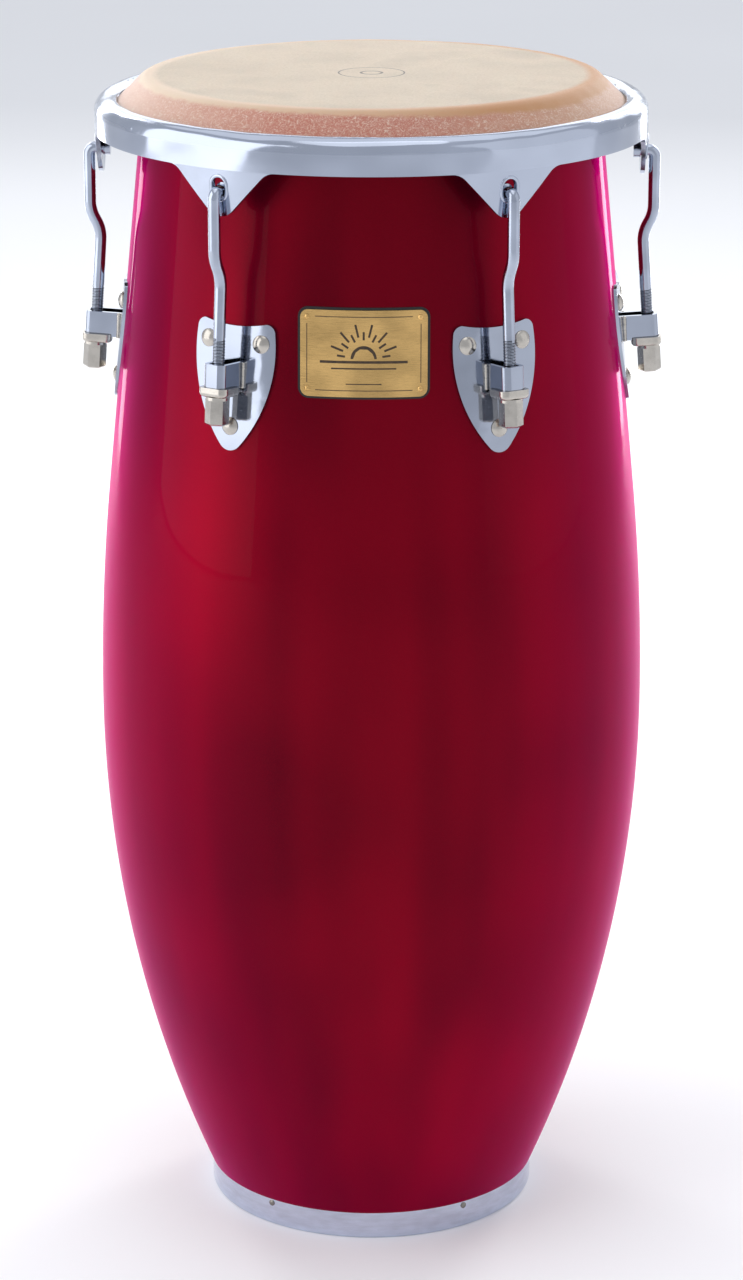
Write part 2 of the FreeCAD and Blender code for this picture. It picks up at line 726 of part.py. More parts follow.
def make_ear_form(name, azimuth):
    """An ear's outline, a tongue with a round tip and filleted shoulders, as a block across the band."""
    angle = size("EarAngle")
    tip = size("EarTipRound")
    centre = f"({EAR_TIP_Z} + {tip})"
    corner = f"(({tip} + ({RIM_BOTTOM_Z} - {centre}) * sin({angle})) / cos({angle}))"
    tangent = f"(Sizes.EarFillet * tan((90 - {angle}) / 2))"
    high = f"({RIM_BOTTOM_Z} + Sizes.EarRoot / 2)"
    body = new_body(name, turned(azimuth))
    outline = new_sketch(body, "YZ_Plane", f"{RIM_R} - Sizes.RimOffset")
    draw(outline, mirrored([
        ("0", EAR_TIP_Z),
        (f"{tip} * cos({angle})", f"{centre} - {tip} * sin({angle})", tip, 1),
        (f"{corner} - {tangent} * sin({angle})", f"{RIM_BOTTOM_Z} - {tangent} * cos({angle})"),
        (f"{corner} + {tangent}", RIM_BOTTOM_Z, size("EarFillet"), -1),
        (f"{corner} + {tangent}", high),
        ("0", high),
    ]))
    pad(body, outline, "2 * Sizes.RimOffset")
    eye = new_sketch(body, "YZ_Plane", f"{RIM_R} - Sizes.RimOffset")
    radius = size("EyeRadius")
    top = f"{EYE_Z} + Sizes.EyeLength"
    draw(eye, [
        (f"-{radius}", EYE_Z),
        ("0", f"{EYE_Z} - {radius}", radius, 1),
        (radius, EYE_Z, radius, 1),
        (radius, top),
        ("0", f"{top} + {radius}", radius, 1),
        (f"-{radius}", top, radius, 1),
    ])
    pocket(body, eye, "2 * Sizes.RimOffset", reverse=True)
    return body


def make_tension_rim():
    forms = [make_ear_form(f"ear_form_{name}", azimuth) for name, azimuth in LUGS.items()]
    ears = common("rim_ears", make_ear_band(), joined("ear_forms", forms))
    keep(joined("rim_with_ears", [make_rim_band(), ears]), "tension_rim")


# ---- tension hooks ----

def make_hook(name, azimuth):
    """A rod: button head, bend over the ear, vertical run, crank, slanting run with a thread."""
    ear_face = f"({RIM_R} - Sizes.EarLean * ({RIM_BOTTOM_Z} - {HOOK_Z}) / Sizes.EarDrop - Sizes.RimThickness)"
    start = f"({ear_face} - Sizes.HookHeadGap)"
    bend = size("HookBend")
    drop_r = f"({RIM_R} + Sizes.HookReach)"
    crank_z = "(Sizes.Height - Sizes.CrankDrop)"
    slant = "Sizes.CrankAngle"
    tilt = "Sizes.RodTilt"
    crank = (
        f"(({drop_r} - {ROD_R} - ({BRACKET_Z} - {crank_z}) * tan({tilt}))"
        f" / (1 - 2 * cos({slant}) + cos({tilt}) + (2 * sin({slant}) + sin({tilt})) * tan({tilt})))"
    )
    thread_top = size("ThreadTop")
    knee = (
        f"{drop_r} - {crank} + {crank} * cos({slant})",
        f"{crank_z} - {crank} * sin({slant})",
    )
    straight = (
        f"{drop_r} - {crank} + 2 * {crank} * cos({slant}) - {crank} * cos({tilt})",
        f"{crank_z} - 2 * {crank} * sin({slant}) - {crank} * sin({tilt})",
    )
    body = new_body(f"rod_{name}", turned(azimuth))
    route = new_sketch(body, "XZ_Plane")
    lines = draw_route(route, [
        (start, HOOK_Z),
        (f"{drop_r} - {bend}", HOOK_Z),
        (drop_r, f"{HOOK_Z} - {bend}", bend, -1),
        (drop_r, crank_z),
        knee + (crank, -1),
        straight + (crank, 1),
        (f"{ROD_R} - {thread_top} * sin({tilt})", f"{BRACKET_Z} + {thread_top} * cos({tilt})"),
    ])
    section = new_sketch(body, "YZ_Plane", start)
    draw_circle(section, ("0", HOOK_Z), size("RodRadius"))
    pipe = body.newObject("PartDesign::AdditivePipe", f"rod_{name}_swept")
    pipe.Profile = section
    pipe.Spine = (route, [f"Edge{index + 1}" for index in range(lines)])
    head = cylinder(
        f"head_{name}",
        size("HookHeadRadius"),
        size("HookHeadLength"),
        pointing_out(azimuth, f"{start} - Sizes.HookHeadLength", HOOK_Z, "0"),
    )
    thread = cylinder(
        f"thread_{name}",
        size("ThreadRadius"),
        f"{thread_top} + Sizes.RodEnd",
        on_rod(azimuth, "-Sizes.RodEnd"),
    )
    keep(joined(f"hook_{name}", [body, head, thread]), f"tension_hook_{name}")


# ---- lug plates, brackets, washers and nuts ----

def make_neck_band(name, inner, outer):
    """A conical layer round the neck, between two distances outside the wood."""
    low = f"({BRACKET_Z} - 2 * Sizes.PlateFall)"
    high = f"({BRACKET_Z} + 2 * Sizes.PlateFall)"
    cones = []
    for part, out in (("outer", outer), ("inner", inner)):
        cone = doc.addObject("Part::Cone", f"{name}_{part}")
        cone.setExpression("Radius1", neck_layer(low, out))
        cone.setExpression("Radius2", neck_layer(high, out))
        cone.setExpression("Height", f"{high} - {low}")
        cone.setExpression("Placement", f"placement(vector(0; 0; {low}); rotationz(0))")
        cones.append(cone)
    return cut(f"{name}_layer", *cones)


def curved_plate(name, azimuth, outline, band, spaces):
    """An outline seen from the front, taken out of a layer round the neck and drilled."""
    form = new_body(f"{name}_form", turned(azimuth))
    sketch = new_sketch(form, "YZ_Plane", "Sizes.HeadRadius / 2")
    draw(sketch, outline)
    pad(form, sketch, "Sizes.HeadRadius")
    blank = common(f"{name}_blank", band, form)
    keep(cut(f"{name}_drilled", blank, grouped(f"{name}_holes", spaces)), name)


def shield_outline():
    """Shield: round tip, bulging sides, round upper corners and a hollow upper edge."""
    tip = size("PlateTipRound")
    angle = size("PlateTipAngle")
    tip_z = f"({BRACKET_Z} - Sizes.PlateFall)"
    top_z = f"({BRACKET_Z} + Sizes.PlateRise)"
    half = size("PlateHalfWidth")
    corner = size("PlateCorner")
    inside = f"({half} - {corner})"
    hollow = f"(({inside} ^ 2 + Sizes.PlateTopDip ^ 2) / (2 * Sizes.PlateTopDip))"
    return mirrored([
        ("0", tip_z),
        (f"{tip} * cos({angle})", f"{tip_z} + {tip} - {tip} * sin({angle})", tip, 1),
        (half, f"{top_z} - {corner}", size("PlateSideRound"), 1),
        (inside, top_z, corner, 1),
        ("0", f"{top_z} - Sizes.PlateTopDip", hollow, -1),
    ])


def rounded_rectangle(half_width, low, high, corner):
    return mirrored([
        ("0", low),
        (f"{half_width} - {corner}", low),
        (half_width, f"{low} + {corner}", corner, 1),
        (half_width, f"{high} - {corner}"),
        (f"{half_width} - {corner}", high, corner, 1),
        ("0", high),
    ])


def back_plate_outline():
    low = f"({BRACKET_Z} - Sizes.BoltFall - Sizes.BackPlateMargin)"
    high = f"({BRACKET_Z} + Sizes.BoltRise + Sizes.BackPlateMargin)"
    return rounded_rectangle(size("BackPlateHalfWidth"), low, high, size("PlateCorner"))


def make_bracket(name, azimuth, plate_solid):
    """A U strap standing on the lug plate, open above and below round the rod."""
    half = size("BracketHalfWidth")
    wall = size("BracketWall")
    front = size("BracketFront")
    outer_round = size("BracketRound")
    inner_round = f"({outer_round} - {wall})"
    back = "(-Sizes.RodStandoff - 2 * Sizes.PlateThickness)"
    body = new_body(f"strap_{name}", on_rod(azimuth))
    sketch = new_sketch(body, "XY_Plane")
    draw(sketch, [
        (back, f"-{half}"),
        (f"{front} - {outer_round}", f"-{half}"),
        (front, f"-{half} + {outer_round}", outer_round, 1),
        (front, f"{half} - {outer_round}"),
        (f"{front} - {outer_round}", half, outer_round, 1),
        (back, half),
        (back, f"{half} - {wall}"),
        (f"{front} - {outer_round}", f"{half} - {wall}"),
        (f"{front} - {wall}", f"{half} - {outer_round}", inner_round, -1),
        (f"{front} - {wall}", f"-{half} + {outer_round}"),
        (f"{front} - {outer_round}", f"-{half} + {wall}", inner_round, -1),
        (back, f"-{half} + {wall}"),
    ])
    pad(body, sketch, size("BracketHeight"), middle=True)
    keep(cut(f"bracket_{name}", body, plate_solid), f"lug_bracket_{name}")


CUP_TOP = "(-Sizes.BracketHeight / 2)"
CUP_BOTTOM = f"({CUP_TOP} - Sizes.CupFloor)"


def make_cup_washer(name, azimuth):
    """A tray under the bracket, with a lip round the strap and a hole for the rod."""
    front = "(Sizes.BracketFront + Sizes.CupGap + Sizes.CupWall)"
    back = f"({front} - Sizes.CupDepth)"
    half = size("CupHalfWidth")
    corner = size("BracketRound")
    body = new_body(f"cup_{name}", on_rod(azimuth))
    base = new_sketch(body, "XY_Plane", CUP_BOTTOM)
    draw(base, [
        (f"{back} + {corner}", f"-{half}", corner, 1),
        (f"{front} - {corner}", f"-{half}"),
        (front, f"-{half} + {corner}", corner, 1),
        (front, f"{half} - {corner}"),
        (f"{front} - {corner}", half, corner, 1),
        (f"{back} + {corner}", half),
        (back, f"{half} - {corner}", corner, 1),
        (back, f"-{half} + {corner}"),
    ])
    pad(body, base, "Sizes.CupFloor + Sizes.CupLip")
    dress_low_edges(body, "Fillet", "CupRound", "Radius")
    seat = new_sketch(body, "XY_Plane", f"{CUP_TOP} + Sizes.CupLip")
    room = "(Sizes.BracketHalfWidth + Sizes.CupGap)"
    reach = "(Sizes.BracketFront + Sizes.CupGap)"
    draw(seat, [
        (f"{back} - Sizes.CupWall", f"-{room}"),
        (f"{reach} - {corner}", f"-{room}"),
        (reach, f"-{room} + {corner}", corner, 1),
        (reach, f"{room} - {corner}"),
        (f"{reach} - {corner}", room, corner, 1),
        (f"{back} - Sizes.CupWall", room),
    ])
    pocket(body, seat, size("CupLip"))
    hole = new_sketch(body, "XY_Plane", CUP_TOP)
    draw_circle(hole, ("0", "0"), "Sizes.ThreadRadius + Sizes.CupHoleGap")
    pocket(body, hole, "2 * Sizes.CupFloor")
    keep(body, f"cup_washer_{name}")


def make_tuning_nut(name, azimuth):
    """A collared hexagon nut, closed below, that bears up on the cup washer."""
    body = new_body(f"nut_{name}", on_rod(azimuth, CUP_BOTTOM))
    corner = "(Sizes.NutFlats / 2 / cos(30))"
    flats = new_sketch(body, "XY_Plane")
    draw(flats, [(f"{corner} * cos({60 * side})", f"{corner} * sin({60 * side})") for side in range(6)])
    pad(body, flats, size("NutLength"), reverse=True)
    dress_low_edges(body, "Chamfer", "NutChamfer", "Size")
    collar = new_sketch(body, "XY_Plane")
    draw_circle(collar, ("0", "0"), size("NutCollarRadius"))
    pad(body, collar, size("NutCollarHeight"), reverse=True)
    bore = new_sketch(body, "XY_Plane")
    draw_circle(bore, ("0", "0"), "Sizes.ThreadRadius + Sizes.NutThreadGap")
    pocket(body, bore, "Sizes.NutLength - Sizes.NutCap")
    keep(body, f"tuning_nut_{name}")


# ---- badge ----

def badge_outline(margin):
    half = f"(Sizes.BadgeWidth / 2 + {margin})"
    low = f"({BADGE_Z} - Sizes.BadgeHeight / 2 - {margin})"
    high = f"({BADGE_Z} + Sizes.BadgeHeight / 2 + {margin})"
    return rounded_rectangle(half, low, high, f"(Sizes.BadgeCorner + {margin})")


def badge_screw_hole(name, azimuth, z):
    inward = "placement(vector(0; 0; -Sizes.SmallScrewLength - Sizes.SmallScrewRoom); rotationz(0))"
    return cylinder(
        name,
        "Sizes.BadgeScrewShank + Sizes.SmallScrewGap",
        "2 * Sizes.SmallScrewLength",
        f"{on_neck(azimuth, z)} * {inward}",
    )


def make_badge(holes):
    backing = make_neck_band("badge_backing_band", "0", size("BadgeBacking"))
    plate = make_neck_band("badge_plate_band", size("BadgeBacking"), BADGE_SEAT)
    curved_plate("badge_backing", FRONT, badge_outline("Sizes.BadgeBorder"), backing, holes)
    curved_plate("badge_plate", FRONT, badge_outline("0"), plate, holes)
    screws = []
    for index, (azimuth, z) in enumerate(badge_screw_places(), start=1):
        screws.append(domed_fastener(
            f"badge_screw_{index}",
            on_neck(azimuth, z),
            size("BadgeScrewShank"),
            size("BadgeScrewHead"),
            size("SmallScrewHead"),
            size("SmallScrewEdge"),
            BADGE_SEAT,
            size("SmallScrewLength"),
        ))
    keep(grouped("badge_screw_group", screws), "badge_screws")


# ---- assembly ----

def make_lugs():
    """Everything that hangs on the six lugs; gives back the bolts' rooms, which the shell needs too."""
    plate_band = make_neck_band("lug_band", "0", size("PlateThickness"))
    back_band = make_neck_band("back_band", f"-{INNER_FACE}", "-Sizes.WallThickness")
    plate_solid = plate_band.Base
    nuts = []
    every_space = []
    for name, azimuth in LUGS.items():
        places = bolt_places(azimuth)
        numbered = [(f"{name}_{index}", *place) for index, place in enumerate(places, start=1)]
        spaces = [bolt_space(f"bolt_space_{tag}", turn, z) for tag, turn, z in numbered]
        bolts = [bolt(f"bolt_{tag}", turn, z) for tag, turn, z in numbered]
        nuts += [bolt_nut(f"bolt_nut_{tag}", turn, z) for tag, turn, z in numbered]
        every_space += spaces
        curved_plate(f"lug_plate_{name}", azimuth, shield_outline(), plate_band, spaces)
        curved_plate(f"backing_plate_{name}", azimuth, back_plate_outline(), back_band, spaces)
        keep(grouped(f"bolt_group_{name}", bolts), f"lug_bolts_{name}")
        make_bracket(name, azimuth, plate_solid)
        make_cup_washer(name, azimuth)
        make_tuning_nut(name, azimuth)
        make_hook(name, azimuth)
    keep(grouped("bolt_nut_group", nuts), "lug_bolt_nuts")
    return every_space


def write_parts():
    """Checks every object and writes each sub-part to its own file."""
    doc.recompute()
    for item in doc.Objects:
        if {"Invalid", "Error"} & set(item.State):
            raise RuntimeError(f"{item.Name} did not recompute: {item.State}")
    os.makedirs("parts", exist_ok=True)
    for item in SUBPARTS:
        shape = item.Shape
        if shape.isNull() or not shape.isValid() or shape.Volume <= 0:
            raise RuntimeError(f"{item.Label} has no valid solid")
        shape.exportStep(f"parts/{item.Label}.step")


ring_holes = [
    ring_screw_hole(f"ring_hole_{index}", azimuth, z)
    for index, (azimuth, z) in enumerate(ring_screw_places(), start=1)
]
badge_holes = [
    badge_screw_hole(f"badge_hole_{index}", azimuth, z)
    for index, (azimuth, z) in enumerate(badge_screw_places(), start=1)
]
bolt_spaces = make_lugs()
make_shell(bolt_spaces + ring_holes + badge_holes)
make_base_ring(ring_holes)
make_ring_screws()
make_drum_skin()
make_flesh_hoop()
make_tension_rim()
make_badge(badge_holes)
write_parts()
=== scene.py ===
"""The looks of a conga: lacquered barrel, hide head, chromed rim, hooks, lug plates and a brass badge."""
import bmesh
import bpy
import json
import math
from bpy.props import FloatProperty, FloatVectorProperty, PointerProperty
from mathutils import Matrix, Vector, noise


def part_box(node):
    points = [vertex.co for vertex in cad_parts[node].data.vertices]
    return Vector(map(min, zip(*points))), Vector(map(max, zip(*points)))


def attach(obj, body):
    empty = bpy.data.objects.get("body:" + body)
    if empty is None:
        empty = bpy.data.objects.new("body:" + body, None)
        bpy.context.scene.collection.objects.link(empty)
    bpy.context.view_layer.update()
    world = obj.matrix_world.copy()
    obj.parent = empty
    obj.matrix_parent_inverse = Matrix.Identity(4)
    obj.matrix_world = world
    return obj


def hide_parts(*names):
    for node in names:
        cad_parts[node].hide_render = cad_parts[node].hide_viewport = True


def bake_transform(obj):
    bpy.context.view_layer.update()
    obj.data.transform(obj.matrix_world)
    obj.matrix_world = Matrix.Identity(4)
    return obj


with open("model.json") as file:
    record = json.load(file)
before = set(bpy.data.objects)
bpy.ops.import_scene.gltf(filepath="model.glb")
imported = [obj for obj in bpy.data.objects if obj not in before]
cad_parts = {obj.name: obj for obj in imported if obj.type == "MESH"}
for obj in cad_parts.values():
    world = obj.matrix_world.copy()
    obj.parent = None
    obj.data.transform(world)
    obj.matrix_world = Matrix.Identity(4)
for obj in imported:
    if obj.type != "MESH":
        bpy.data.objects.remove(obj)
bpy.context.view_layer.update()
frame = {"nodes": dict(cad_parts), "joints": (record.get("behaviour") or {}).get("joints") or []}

bl_info = {
    "name": "Conga drum",
    "version": (1, 0, 0),
    "blender": (4, 5, 0),
    "location": "View3D > Sidebar > Conga",
    "description": "Makes the looks of a conga round its packed frame",
    "category": "Object",
}

MM = 0.001
NODES = frame["nodes"]
HEAD_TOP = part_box("drum_skin")[1][2]
RIM_LOW, RIM_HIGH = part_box("tension_rim")
HOOP_LOW, HOOP_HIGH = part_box("flesh_hoop")
RING_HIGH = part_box("base_ring")[1]
SHELL_LOW, SHELL_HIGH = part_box("shell")
# where each lug stands round the drum, in degrees from +X
LUGS = {
    "front_left": -120,
    "front_right": -60,
    "side_left": 180,
    "side_right": 0,
    "back_left": 120,
    "back_right": 60,
}


# ---- sizes and colours ----

def colour(hex_value):
    """An sRGB hex value as a linear colour with full alpha."""
    channels = [int(hex_value[start:start + 2], 16) / 255 for start in (1, 3, 5)]
    turned = [c / 12.92 if c <= 0.04045 else ((c + 0.055) / 1.055) ** 2.4 for c in channels]
    return (*turned, 1.0)


def colour_property(name, description, hex_value):
    """A colour that a user can change, with its default."""
    return FloatVectorProperty(name=name, description=description, default=colour(hex_value),
                               size=4, min=0.0, max=1.0, subtype="COLOR")


class BarrelSizes(bpy.types.PropertyGroup):
    """Sizes of the wooden barrel, in metres."""
    neck_radius: FloatProperty(name="Neck radius", description="Outside of the wood at its top edge",
                               default=0.145, unit="LENGTH")
    neck_angle: FloatProperty(name="Neck angle", description="Flare of the straight neck",
                              default=math.radians(5.71), subtype="ANGLE")
    belly_drop: FloatProperty(name="Belly drop", description="Top of the skin down to the widest place",
                              default=0.412, unit="LENGTH")
    foot_radius: FloatProperty(name="Foot radius", description="Outside of the wood above the base ring",
                               default=0.1104, unit="LENGTH")
    upper_curve: FloatProperty(name="Upper curve", description="Radius of the long curve over the belly",
                               default=1.45, unit="LENGTH")
    wall: FloatProperty(name="Wall", description="Thickness of the staves", default=0.01, unit="LENGTH")
    edge_round: FloatProperty(name="Edge round", description="Round of the bearing edge",
                              default=0.007, unit="LENGTH")


class SkinSizes(bpy.types.PropertyGroup):
    """Sizes of the hide head, in metres."""
    thickness: FloatProperty(name="Thickness", description="Thickness of the hide",
                             default=0.002, unit="LENGTH")
    fold_radius: FloatProperty(name="Fold radius", description="Where the hide turns down over the wood",
                               default=0.1453, unit="LENGTH")
    fold_round: FloatProperty(name="Fold round", description="How softly the hide turns down",
                              default=0.0095, unit="LENGTH")
    wrap: FloatProperty(name="Wrap", description="Outside of the hide round the flesh hoop",
                        default=0.0065, unit="LENGTH")
    mark_radius: FloatProperty(name="Mark radius", description="Printed ring in the middle of the head",
                               default=0.021, unit="LENGTH")


class HardwareSizes(bpy.types.PropertyGroup):
    """Sizes of the small pieces of the hardware, in metres."""
    thread_radius: FloatProperty(name="Thread radius", description="Crests of the rod's thread",
                                 default=0.0038, unit="LENGTH")
    thread_pitch: FloatProperty(name="Thread pitch", description="Drawn coarser than real, to show",
                                default=0.00175, unit="LENGTH")
    thread_root: FloatProperty(name="Thread root", description="Bottom of the rod's thread",
                               default=0.00345, unit="LENGTH")
    bead_radius: FloatProperty(name="Weld bead", description="Half width of the bead beside a bracket",
                               default=0.0016, unit="LENGTH")
    bead_length: FloatProperty(name="Weld length", description="Height of the bead beside a bracket",
                               default=0.017, unit="LENGTH")
    lip_radius: FloatProperty(name="Eye lip", description="Half width of the raised lip round an eye",
                              default=0.0012, unit="LENGTH")
    eye_half_width: FloatProperty(name="Eye half width", description="Middle of an eye to its lip",
                                  default=0.0055, unit="LENGTH")
    eye_straight: FloatProperty(name="Eye straight", description="Straight part of an eye's sides",
                                default=0.0041, unit="LENGTH")


class FinishColours(bpy.types.PropertyGroup):
    """Colours of the finishes."""
    lacquer_deep: colour_property("Lacquer, deep", "Candy lacquer where it lies thick", "#52030A")
    lacquer_bright: colour_property("Lacquer, bright", "Candy lacquer where it lies thin", "#8A0618")
    lacquer_edge: colour_property("Lacquer, edge", "Tint of the flakes seen at a low angle", "#F25CC6")
    hide_top: colour_property("Hide, top", "Scraped upper side of the hide", "#BDAB93")
    hide_flesh: colour_property("Hide, flesh", "Hide down the skirt, at the front", "#B5705C")
    hide_fold: colour_property("Hide, fold", "Hide along the fold, at the right", "#BC8A5E")
    chrome: colour_property("Chrome", "Plating of the rim, hooks and plates", "#B2B9C8")
    nickel: colour_property("Nickel", "Plating of the nuts, washers and bolts", "#CBC5BC")
    brass: colour_property("Brass", "Plate of the badge", "#CFA96C")
    wood: colour_property("Wood", "Bare staves inside the barrel", "#B9966A")


# ---- materials ----

def add_node(tree, kind, settings=None, links=None):
    """Adds a node, sets its properties or input values, and links its inputs."""
    node = tree.nodes.new(kind)
    for name, value in (settings or {}).items():
        if isinstance(name, str) and hasattr(node, name):
            setattr(node, name, value)
        else:
            node.inputs[name].default_value = value
    for name, socket in (links or {}).items():
        tree.links.new(socket, node.inputs[name])
    return node


def new_material(name):
    """An empty node material with its shader, output and Object coordinates."""
    material = bpy.data.materials.new(name)
    material.use_nodes = True
    tree = material.node_tree
    tree.nodes.clear()
    shader = add_node(tree, "ShaderNodeBsdfPrincipled")
    output = add_node(tree, "ShaderNodeOutputMaterial")
    tree.links.new(shader.outputs["BSDF"], output.inputs["Surface"])
    place = add_node(tree, "ShaderNodeTexCoord").outputs["Object"]
    return material, tree, shader, place


def per_metre(size_mm):
    """Texture scale of a pattern whose features lie a distance in millimetres apart."""
    return 1000 / size_mm


def noise_node(tree, place, size_mm, detail=2.0, stretch=(1, 1, 1), rough=0.5, distortion=0.0):
    """Noise whose lumps are about a size in millimetres, squeezed along the axes that stretch raises."""
    mapping = add_node(tree, "ShaderNodeMapping", {"Scale": stretch}, {"Vector": place})
    return add_node(
        tree,
        "ShaderNodeTexNoise",
        {"Scale": per_metre(size_mm), "Detail": detail, "Roughness": rough, "Distortion": distortion},
        {"Vector": mapping.outputs["Vector"]},
    ).outputs["Fac"]


def ramp(tree, factor, stops):
    """A colour ramp through (position, colour) stops."""
    node = add_node(tree, "ShaderNodeValToRGB", links={"Fac": factor})
    elements = node.color_ramp.elements
    while len(elements) > 1:
        elements.remove(elements[-1])
    elements[0].position, elements[0].color = stops[0]
    for position, value in stops[1:]:
        element = elements.new(position)
        element.color = value
    return node.outputs["Color"]


def mixed(tree, factor, first, second):
    """Blends two colours, each a value or a socket, by a factor."""
    node = add_node(tree, "ShaderNodeMix", {"data_type": "RGBA"})
    for socket, value in ((node.inputs[0], factor), (node.inputs[6], first), (node.inputs[7], second)):
        if isinstance(value, bpy.types.NodeSocket):
            tree.links.new(value, socket)
        else:
            socket.default_value = value
    return node.outputs[2]


def shade(value, factor):
    """The same colour made darker, below 1, or lighter, above it."""
    return (*(min(channel * factor, 1.0) for channel in value[:3]), 1.0)


def span(tree, factor, low, high, to_low=0.0, to_high=1.0):
    """Rescales a value from one range to another."""
    node = add_node(
        tree,
        "ShaderNodeMapRange",
        {"From Min": low, "From Max": high, "To Min": to_low, "To Max": to_high},
        {"Value": factor},
    )
    return node.outputs["Result"]


def add_bump(tree, shader, height, distance_mm, strength=1.0):
    """Raises the surface by a height pattern, up to a distance in millimetres."""
    bump = add_node(
        tree, "ShaderNodeBump", {"Strength": strength, "Distance": distance_mm * MM}, {"Height": height}
    )
    tree.links.new(bump.outputs["Normal"], shader.inputs["Normal"])


def set_shader(shader, **values):
    """Sets the shader's own sockets; an underscore stands for a space."""
    for name, value in values.items():
        shader.inputs[name.replace("_", " ")].default_value = value


def candy_lacquer(colours):
    """Candy red lacquer on staves: bright flakes under a red glaze, a little deeper where it lies thick."""
    material, tree, shader, place = new_material("candy_red_lacquer")
    # tone follows the staves, which are drawn out along the barrel, and slow clouds of the spray
    staves = noise_node(tree, place, 45, 1, (1, 1, 0.06))
    cloud = noise_node(tree, place, 240, 2)
    flake = noise_node(tree, place, 0.7, 1)
    along = ramp(tree, staves, [(0.3, colours.lacquer_deep), (0.7, colours.lacquer_bright)])
    wide = ramp(tree, cloud, [(0.35, colours.lacquer_deep), (0.65, colours.lacquer_bright)])
    base = mixed(tree, 0.6, along, wide)
    lifted = mixed(tree, span(tree, flake, 0.45, 0.75, 0.0, 0.06), base, shade(colours.lacquer_bright, 2.2))
    tree.links.new(lifted, shader.inputs["Base Color"])
    set_shader(
        shader,
        Metallic=1.0,
        Roughness=0.4,
        Specular_Tint=colours.lacquer_edge,
        Sheen_Weight=0.8,
        Sheen_Roughness=0.5,
        Sheen_Tint=colour("#D00678"),
        Coat_Weight=0.35,
        Coat_Roughness=0.02,
        Coat_IOR=1.17,
    )
    # orange peel of a sprayed coat, about 6 mm across
    peel = noise_node(tree, place, 14, 1)
    bump = add_node(tree, "ShaderNodeBump", {"Strength": 0.05, "Distance": 0.2 * MM}, {"Height": peel})
    tree.links.new(bump.outputs["Normal"], shader.inputs["Coat Normal"])
    return material


def bare_wood(colours):
    """Sanded inside of the staves: pale hardwood with grain along the barrel."""
    material, tree, shader, place = new_material("sanded_hardwood")
    grain = noise_node(tree, place, 5, 4, (1, 1, 0.05), 0.6, 0.4)
    tone = noise_node(tree, place, 40, 1, (1, 1, 0.1))
    fine = ramp(tree, grain, [(0.35, shade(colours.wood, 0.65)), (0.6, shade(colours.wood, 1.2))])
    broad = ramp(tree, tone, [(0.4, shade(colours.wood, 0.77)), (0.6, shade(colours.wood, 1.35))])
    tree.links.new(mixed(tree, 0.4, fine, broad), shader.inputs["Base Color"])
    tree.links.new(span(tree, grain, 0.3, 0.7, 0.55, 0.7), shader.inputs["Roughness"])
    add_bump(tree, shader, grain, 0.2, 0.4)
    return material


def polished_plate(name, tint, roughness, mottle_mm, bump_mm):
    """Plated metal, polished: two near tones and a roughness that changes a little from place to place."""
    material, tree, shader, place = new_material(name)
    cloud = noise_node(tree, place, mottle_mm, 2)
    tones = ramp(tree, cloud, [(0.3, shade(tint, 0.88)), (0.7, shade(tint, 1.12))])
    tree.links.new(tones, shader.inputs["Base Color"])
    fine = noise_node(tree, place, mottle_mm / 6, 3)
    tree.links.new(span(tree, fine, 0.3, 0.7, roughness * 0.7, roughness * 1.4), shader.inputs["Roughness"])
    set_shader(shader, Metallic=1.0)
    add_bump(tree, shader, noise_node(tree, place, mottle_mm / 2, 1), bump_mm, 0.5)
    return material


def rim_chrome(colours):
    """Chrome on pressed steel: cool and bright, with the slight waves of the pressing."""
    return polished_plate("chrome_on_pressed_steel", colours.chrome, 0.13, 90, 5)


def rod_chrome(colours):
    """Chrome on drawn rod: bright, with fine draw marks."""
    return polished_plate("chrome_on_drawn_rod", shade(colours.chrome, 0.95), 0.12, 18, 0.03)


def plate_chrome(colours):
    """Chrome on flat plate: nearly a mirror."""
    return polished_plate("chrome_on_flat_plate", shade(colours.chrome, 0.85), 0.09, 40, 0.6)


def nickel(colours):
    """Nickel on cast and turned steel: warmer and a little duller than chrome."""
    return polished_plate("nickel_on_turned_steel", shade(colours.nickel, 0.85), 0.2, 9, 0.05)


def darkened_screw_plating(colours):
    """Small screws, their nickel plating drawn much darker all over."""
    return polished_plate("darkened_plated_screw", shade(colours.nickel, 0.4), 0.3, 3, 0.05)


def ring_chrome(colours):
    """Satin chrome on the rolled base ring, scuffed along its length."""
    material, tree, shader, place = new_material("chrome_on_rolled_band")
    scuff = noise_node(tree, place, 12, 3, (1, 1, 4))
    tones = ramp(tree, scuff, [(0.3, shade(colours.chrome, 1.2)), (0.7, shade(colours.chrome, 1.45))])
    tree.links.new(tones, shader.inputs["Base Color"])
    tree.links.new(span(tree, scuff, 0.3, 0.7, 0.08, 0.16), shader.inputs["Roughness"])
    set_shader(shader, Metallic=1.0)
    add_bump(tree, shader, noise_node(tree, place, 40, 1), 0.2, 0.3)
    return material


def thread_painted_shade(colours):
    """Rolled thread of the rod: chrome darkened as painted shade for its grooves."""
    return polished_plate("thread_with_painted_groove_shade", shade(colours.chrome, 0.12), 0.3, 6, 0.02)


def zinc(colours):
    """Zinc on the nuts and plates inside the barrel."""
    return polished_plate("zinc_plated_steel", shade(colours.nickel, 0.8), 0.35, 8, 0.03)


